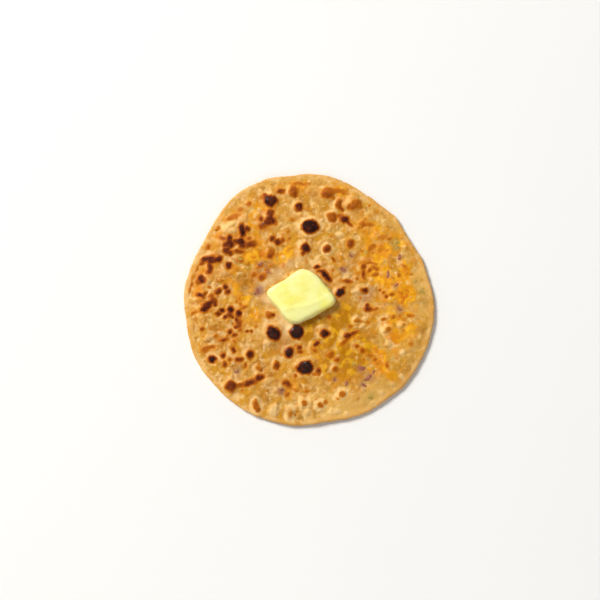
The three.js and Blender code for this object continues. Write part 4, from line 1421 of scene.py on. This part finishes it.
def butter_push(x, y, rise):
    """The mm by which swelling, melting and the dent move a point outwards."""
    puddle = MELT_SPREAD * (MELT_MEAN + ruffle(x, y, size=10, seed=107)) * smooth(rise, MELT_TOP, 0)
    dent = DENT[3] * bell(np.hypot(x - DENT[0], y - DENT[1]), DENT[2])
    return ruffles(x, y, SIDE_LAYERS) + np.maximum(puddle, 0) - dent


def butter_mesh():
    x, y, rise = butter_points()
    away_x, away_y = x - pat_centre[0], y - pat_centre[1]
    length = np.hypot(away_x, away_y)
    push = butter_push(x, y, rise) * smooth(length, *PUSH_FADE)
    x, y = x + away_x / length * push, y + away_y / length * push
    rings = len(butter_rings())
    reach = np.tile(np.hypot(pat_x - pat_centre[0], pat_y - pat_centre[1]), rings)
    z = mix(crust_top_at(x, y) - FOOT_SINK, butter_top(x, y, length / reach), rise)
    faces = [face[::-1] for face in ring_faces(0, rings, BUTTER_SPOKES)]
    faces.append(tuple(reversed(range(BUTTER_SPOKES))))
    faces.append(tuple((rings - 1) * BUTTER_SPOKES + spoke for spoke in range(BUTTER_SPOKES)))
    return x, y, z, faces


butter_x, butter_y, butter_z, butter_faces = butter_mesh()
butter = make_piece("butter", butter_x, butter_y, butter_z, butter_faces)
print("butter: %d points, top at %.1f mm" % (len(butter_x), butter_z.max()))

# %% [markdown]
# ## Soft butter
# Butter is pale lemon with deeper clouds, and has a waxy sheen that turns wet as it melts. Light
# travels a short way into it, so its edges glow instead of falling into hard shadow. A plain
# yellow with a little glow of its own would look lit from inside. Subsurface scattering lets the
# light in and out again in one setting.

# %% The butter's material
LEMON, DEEP_LEMON = paint(254, 248, 168), paint(249, 238, 128)


def soft_butter():
    mixing = Recipe("soft_butter")
    clouds_in_fat = mixing.noise(16, detail=2, shift=11)
    streaks = mixing.noise(5, detail=3, shift=12, stretch=(0.6, 1, 1))
    colour = mixing.coat(LEMON, DEEP_LEMON, mixing.step(clouds_in_fat, 0.35, 0.65))
    colour = mixing.coat(colour, LEMON, mixing.step(streaks, 0.45, 0.7, 0, 0.5))
    sheen = mixing.step(mixing.noise(7, detail=2, shift=13), 0.35, 0.65, 0.26, 0.42)
    surface = mixing.bump(streaks, 0.25)
    surface = mixing.bump(mixing.noise(0.9, detail=2, shift=14), 0.06, surface)
    return mixing.finish(
        colour, sheen, surface,
        Subsurface_Weight=0.6, Subsurface_Radius=(1.0, 0.85, 0.4), Subsurface_Scale=0.005,
        Specular_IOR_Level=0.3,
    )


butter.data.materials.append(soft_butter())
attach(butter, "root")
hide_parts("butter_pat")

# %% [markdown]
# ## Onion and coriander
# The dough is rolled so thin over its filling that slivers of red onion and scraps of coriander
# leaf break through. They are real pieces, half sunk in the crust, and the stains painted
# round them make them look soaked in, not dropped on. A particle system would scatter them
# too, but a list keeps each one where it belongs. Each kind is one mesh, whose bits are small
# closed shapes built ring by ring.

# %% Onion slivers
# Each row is x, y, half length, half width, turn in degrees, and bend.
ONION_SLIVERS = [
    (-37.6, 4.6, 3.0, 1.4, 70, 0.3), (-35.4, 24.5, 2.2, 1, 20, 0.2), (-30.2, 19.5, 1.6, 0.8, 60, 0.2),
    (-20, -66.5, 2.8, 0.6, -15, 0.2), (18, -59, 1.6, 0.8, 80, 0.2), (26.8, -62, 2.1, 0.7, 75, 0.3),
    (37.6, -51, 2.9, 1.5, -10, 0.2), (42.5, -58, 3.4, 1.4, 40, 0.3), (39.5, -63.3, 2.0, 0.9, -30, 0.2),
    (46.5, -53.5, 1.6, 0.7, 70, 0.2), (57.2, 17.4, 2.9, 1, 85, 0.1), (65.8, 29.8, 2.2, 1.1, 80, 0.2),
    (63.4, 9.5, 1.6, 0.8, 40, 0.2), (65, -8, 2.2, 0.9, -40, 0.2), (30, 31.2, 2.1, 0.7, -50, 0.3),
    (24.2, 20.8, 2.4, 1.3, -30, 0.2), (-33.8, 54.5, 1.8, 0.8, 50, 0.2), (-52, -53.5, 1.8, 0.7, 30, 0.2),
]
SLIVER_RINGS, SLIVER_SIDES = 15, 10
SLIVER_END = 0.98  # share of the half length where the last ring closes the sliver
SLIVER_RISE = 0.22  # mm that a sliver stands out of the crust
BLUNTNESS = 0.35  # a smaller power keeps the strip wide further out


def sliver(x, y, half_length, half_width, turn, bend):
    """A bent strip with tapered ends that follows the crust and stands half out of it."""
    along = np.repeat(np.linspace(-SLIVER_END, SLIVER_END, SLIVER_RINGS), SLIVER_SIDES)
    around = np.tile(np.linspace(0, 2 * np.pi, SLIVER_SIDES, endpoint=False), SLIVER_RINGS)
    taper = (1 - along**2) ** BLUNTNESS
    across = half_width * taper * np.cos(around) + bend * half_length * along**2
    cosine, sine = math.cos(math.radians(turn)), math.sin(math.radians(turn))
    point_x = x + half_length * along * cosine - across * sine
    point_y = y + half_length * along * sine + across * cosine
    z = crust_top_at(point_x, point_y) + SLIVER_RISE * taper * np.sin(around)
    return point_x, point_y, z, SLIVER_RINGS, SLIVER_SIDES


print(len(ONION_SLIVERS), "slivers, the longest %.1f mm" % (2 * max(row[2] for row in ONION_SLIVERS)))

# %% Coriander scraps
# Each row is x, y, half size and turn in degrees.
CORIANDER_SCRAPS = [
    (63.6, 41.2, 2.6, 20), (63.4, 37.2, 2, 80), (81.8, 5.2, 2.8, 130), (-50.4, 28.6, 1.8, 40),
    (40.8, 33.4, 1.5, 200), (76.8, 12.2, 1.6, 300), (43.6, -71.4, 2.2, 60), (32, -47.4, 1.5, 10),
    (59.6, -43.8, 1.4, 150), (-44.4, 22.2, 1.4, 250), (82.6, -3.2, 1.4, 20), (-14, 54.6, 1.2, 70),
]
SCRAP_RINGS, SCRAP_SIDES = 7, 24
SCRAP_CENTRE = 0.02  # share of the size where the innermost ring closes the leaf
SCRAP_RISE, EDGE_SINK, EDGE_CURL = 0.22, 0.06, 0.12  # mm


def scrap(x, y, half, turn):
    """A torn leaf lying in the crust: three uneven lobes, thin at the edge."""
    share = np.repeat(np.linspace(SCRAP_CENTRE, 1, SCRAP_RINGS), SCRAP_SIDES)
    around = np.tile(np.linspace(0, 2 * np.pi, SCRAP_SIDES, endpoint=False), SCRAP_RINGS)
    start = math.radians(turn)
    lobes = 0.72 + 0.28 * np.cos(3 * around + start) + 0.12 * np.cos(7 * around + 2 * start)
    reach = half * share * lobes
    point_x, point_y = x + reach * np.cos(around), y + reach * np.sin(around)
    curl = EDGE_CURL * np.cos(2 * around + start) * share
    rise = SCRAP_RISE * (1 - share**3) - EDGE_SINK * share + curl
    return point_x, point_y, crust_top_at(point_x, point_y) + rise, SCRAP_RINGS, SCRAP_SIDES


print(len(CORIANDER_SCRAPS), "scraps, the widest", 2 * max(row[2] for row in CORIANDER_SCRAPS), "mm")


# %% Many bits in one mesh
def bits_in_crust(name, bits):
    """One mesh of many small closed shapes, each built of rings of points."""
    columns, faces, first = [], [], 0
    for x, y, z, rings, sides in bits:
        columns.append((x, y, z))
        faces += [face[::-1] for face in ring_faces(first, rings, sides)]
        faces.append(tuple(first + side for side in range(sides)))
        last = first + (rings - 1) * sides
        faces.append(tuple(last + side for side in reversed(range(sides))))
        first += rings * sides
    x, y, z = (np.concatenate(column) for column in zip(*columns))
    piece = make_piece(name, x, y, z, faces)
    print(name, "is", len(bits), "bits of", len(faces), "faces")
    return piece


onion = bits_in_crust("onion_slivers", [sliver(*row) for row in ONION_SLIVERS])
coriander = bits_in_crust("coriander_scraps", [scrap(*row) for row in CORIANDER_SCRAPS])


# %% Their materials
ONION_PURPLE, ONION_PALE, ONION_BROWN = paint(150, 86, 64), paint(182, 120, 82), paint(138, 72, 42)
LEAF_GREEN, LEAF_FADED = paint(182, 148, 62), paint(202, 168, 84)
BITS_ROUGHNESS = 0.5


def fried_onion():
    """Red onion turns dull purple in the pan, and brown where it caught."""
    mixing = Recipe("fried_onion")
    layers = mixing.noise(1.2, detail=2, shift=21, stretch=(1, 2.5, 1))
    caught = mixing.noise(2.6, detail=2, shift=22)
    colour = mixing.coat(ONION_PURPLE, ONION_PALE, mixing.step(layers, 0.45, 0.65))
    colour = mixing.coat(colour, ONION_BROWN, mixing.step(caught, 0.5, 0.68, 0, 0.8))
    surface = mixing.bump(layers, 0.12)
    return mixing.finish(colour, BITS_ROUGHNESS, surface, Specular_IOR_Level=0.2)


def fried_coriander():
    """Coriander fades from green to a dry olive."""
    mixing = Recipe("fried_coriander")
    veins = mixing.noise(0.8, detail=2, shift=23)
    faded = mixing.noise(2.2, detail=2, shift=24)
    colour = mixing.coat(LEAF_GREEN, LEAF_FADED, mixing.step(faded, 0.4, 0.62))
    surface = mixing.bump(veins, 0.1)
    return mixing.finish(colour, BITS_ROUGHNESS, surface, Specular_IOR_Level=0.25)


for bits, material in ((onion, fried_onion()), (coriander, fried_coriander())):
    bits.data.materials.append(material)
    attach(bits, "root")

# %% [markdown]
# ## Floor, light and camera
# Bread on a table is mostly lit by a window. One large soft lamp at the upper left stands for it,
# a weak one on the near side for the light that the room throws back, and a bright surround opens
# the shadows. A single small lamp would be simpler, but it would cut hard black shadows under
# every wrinkle. The camera looks almost straight down from well above, so that the disc stays
# round, and its lens is worked out from how much floor the frame should take in.

# %% The floor
FLOOR_SIZE = 12.0  # metres
FLOOR_GAP = 0.05  # mm, so that the floor and the flat underside never share a surface
FLOOR_WHITE, FLOOR_GREY, FLOOR_ROUGHNESS = paint(246, 246, 245), paint(243, 243, 241), 0.7


def pale_floor():
    mixing = Recipe("pale_floor")
    cloud = mixing.noise(300, detail=2)
    grain = mixing.noise(2, detail=2)
    colour = mixing.coat(FLOOR_WHITE, FLOOR_GREY, cloud)
    return mixing.finish(colour, FLOOR_ROUGHNESS, mixing.bump(grain, 0.02))


bpy.ops.mesh.primitive_plane_add(size=FLOOR_SIZE, location=(0, 0, -FLOOR_GAP * MM))
floor = bpy.context.object
floor.name = "floor"
floor.data.materials.append(pale_floor())


# %% The lights
def lamp(name, place, size, power, tint):
    """A square lamp of size metres that faces the bread."""
    light = bpy.data.lights.new(name, "AREA")
    light.size, light.energy, light.color = size, power, tint
    holder = bpy.data.objects.new(name, light)
    holder.location = place
    holder.rotation_euler = (-Vector(place)).to_track_quat("-Z", "Y").to_euler()
    bpy.context.scene.collection.objects.link(holder)


lamp("window", place=(-2.4, 2.2, 3.1), size=1.6, power=222, tint=(1.0, 0.985, 0.96))
lamp("bounce", place=(0.3, -1.5, 1.3), size=1.4, power=8, tint=(1.0, 0.99, 0.98))


CEILING_STARTS = 0.6  # height on a sphere of radius 1 where the walls have given way to ceiling
ROOM_TINT = (1.0, 0.99, 0.975, 1)


def bright_room(zenith, horizon):
    """A pale room: bright walls all round, and a dimmer ceiling that leaves the lamp its work."""
    room = bpy.data.worlds.new("room")
    room.use_nodes = True
    tree = room.node_tree
    place = tree.nodes.new("ShaderNodeTexCoord")
    split = tree.nodes.new("ShaderNodeSeparateXYZ")
    fade = tree.nodes.new("ShaderNodeMapRange")
    tree.links.new(place.outputs["Generated"], split.inputs["Vector"])
    tree.links.new(split.outputs["Z"], fade.inputs["Value"])
    fade.inputs["From Max"].default_value = CEILING_STARTS
    fade.inputs["To Min"].default_value = horizon
    fade.inputs["To Max"].default_value = zenith
    background = tree.nodes["Background"]
    background.inputs["Color"].default_value = ROOM_TINT
    tree.links.new(fade.outputs["Result"], background.inputs["Strength"])
    return room


bpy.context.scene.world = bright_room(zenith=0.15, horizon=0.85)
bpy.context.scene.view_settings.view_transform = "Standard"
print("two lamps and a bright room")

# %% The camera
CAMERA_DISTANCE = 0.9  # metres
VIEW_WIDTH = 0.4345  # metres of floor that the frame takes in, side to side
CAMERA_ELEVATION = math.radians(84)
AIM = Vector((-6.7 - MIDDLE_X, -1.4 - MIDDLE_Y, 6)) * MM  # just left of the middle, on the crust

lens = bpy.data.cameras.new("overhead")
lens.lens = lens.sensor_width / 2 / (VIEW_WIDTH / 2 / CAMERA_DISTANCE)
camera = bpy.data.objects.new("overhead", lens)
back = Vector((0, -math.cos(CAMERA_ELEVATION), math.sin(CAMERA_ELEVATION)))
camera.location = AIM + back * CAMERA_DISTANCE
camera.rotation_euler = (-back).to_track_quat("-Z", "Y").to_euler()
bpy.context.scene.collection.objects.link(camera)
bpy.context.scene.camera = camera
print("lens of %.0f mm" % lens.lens)

# %% [markdown]
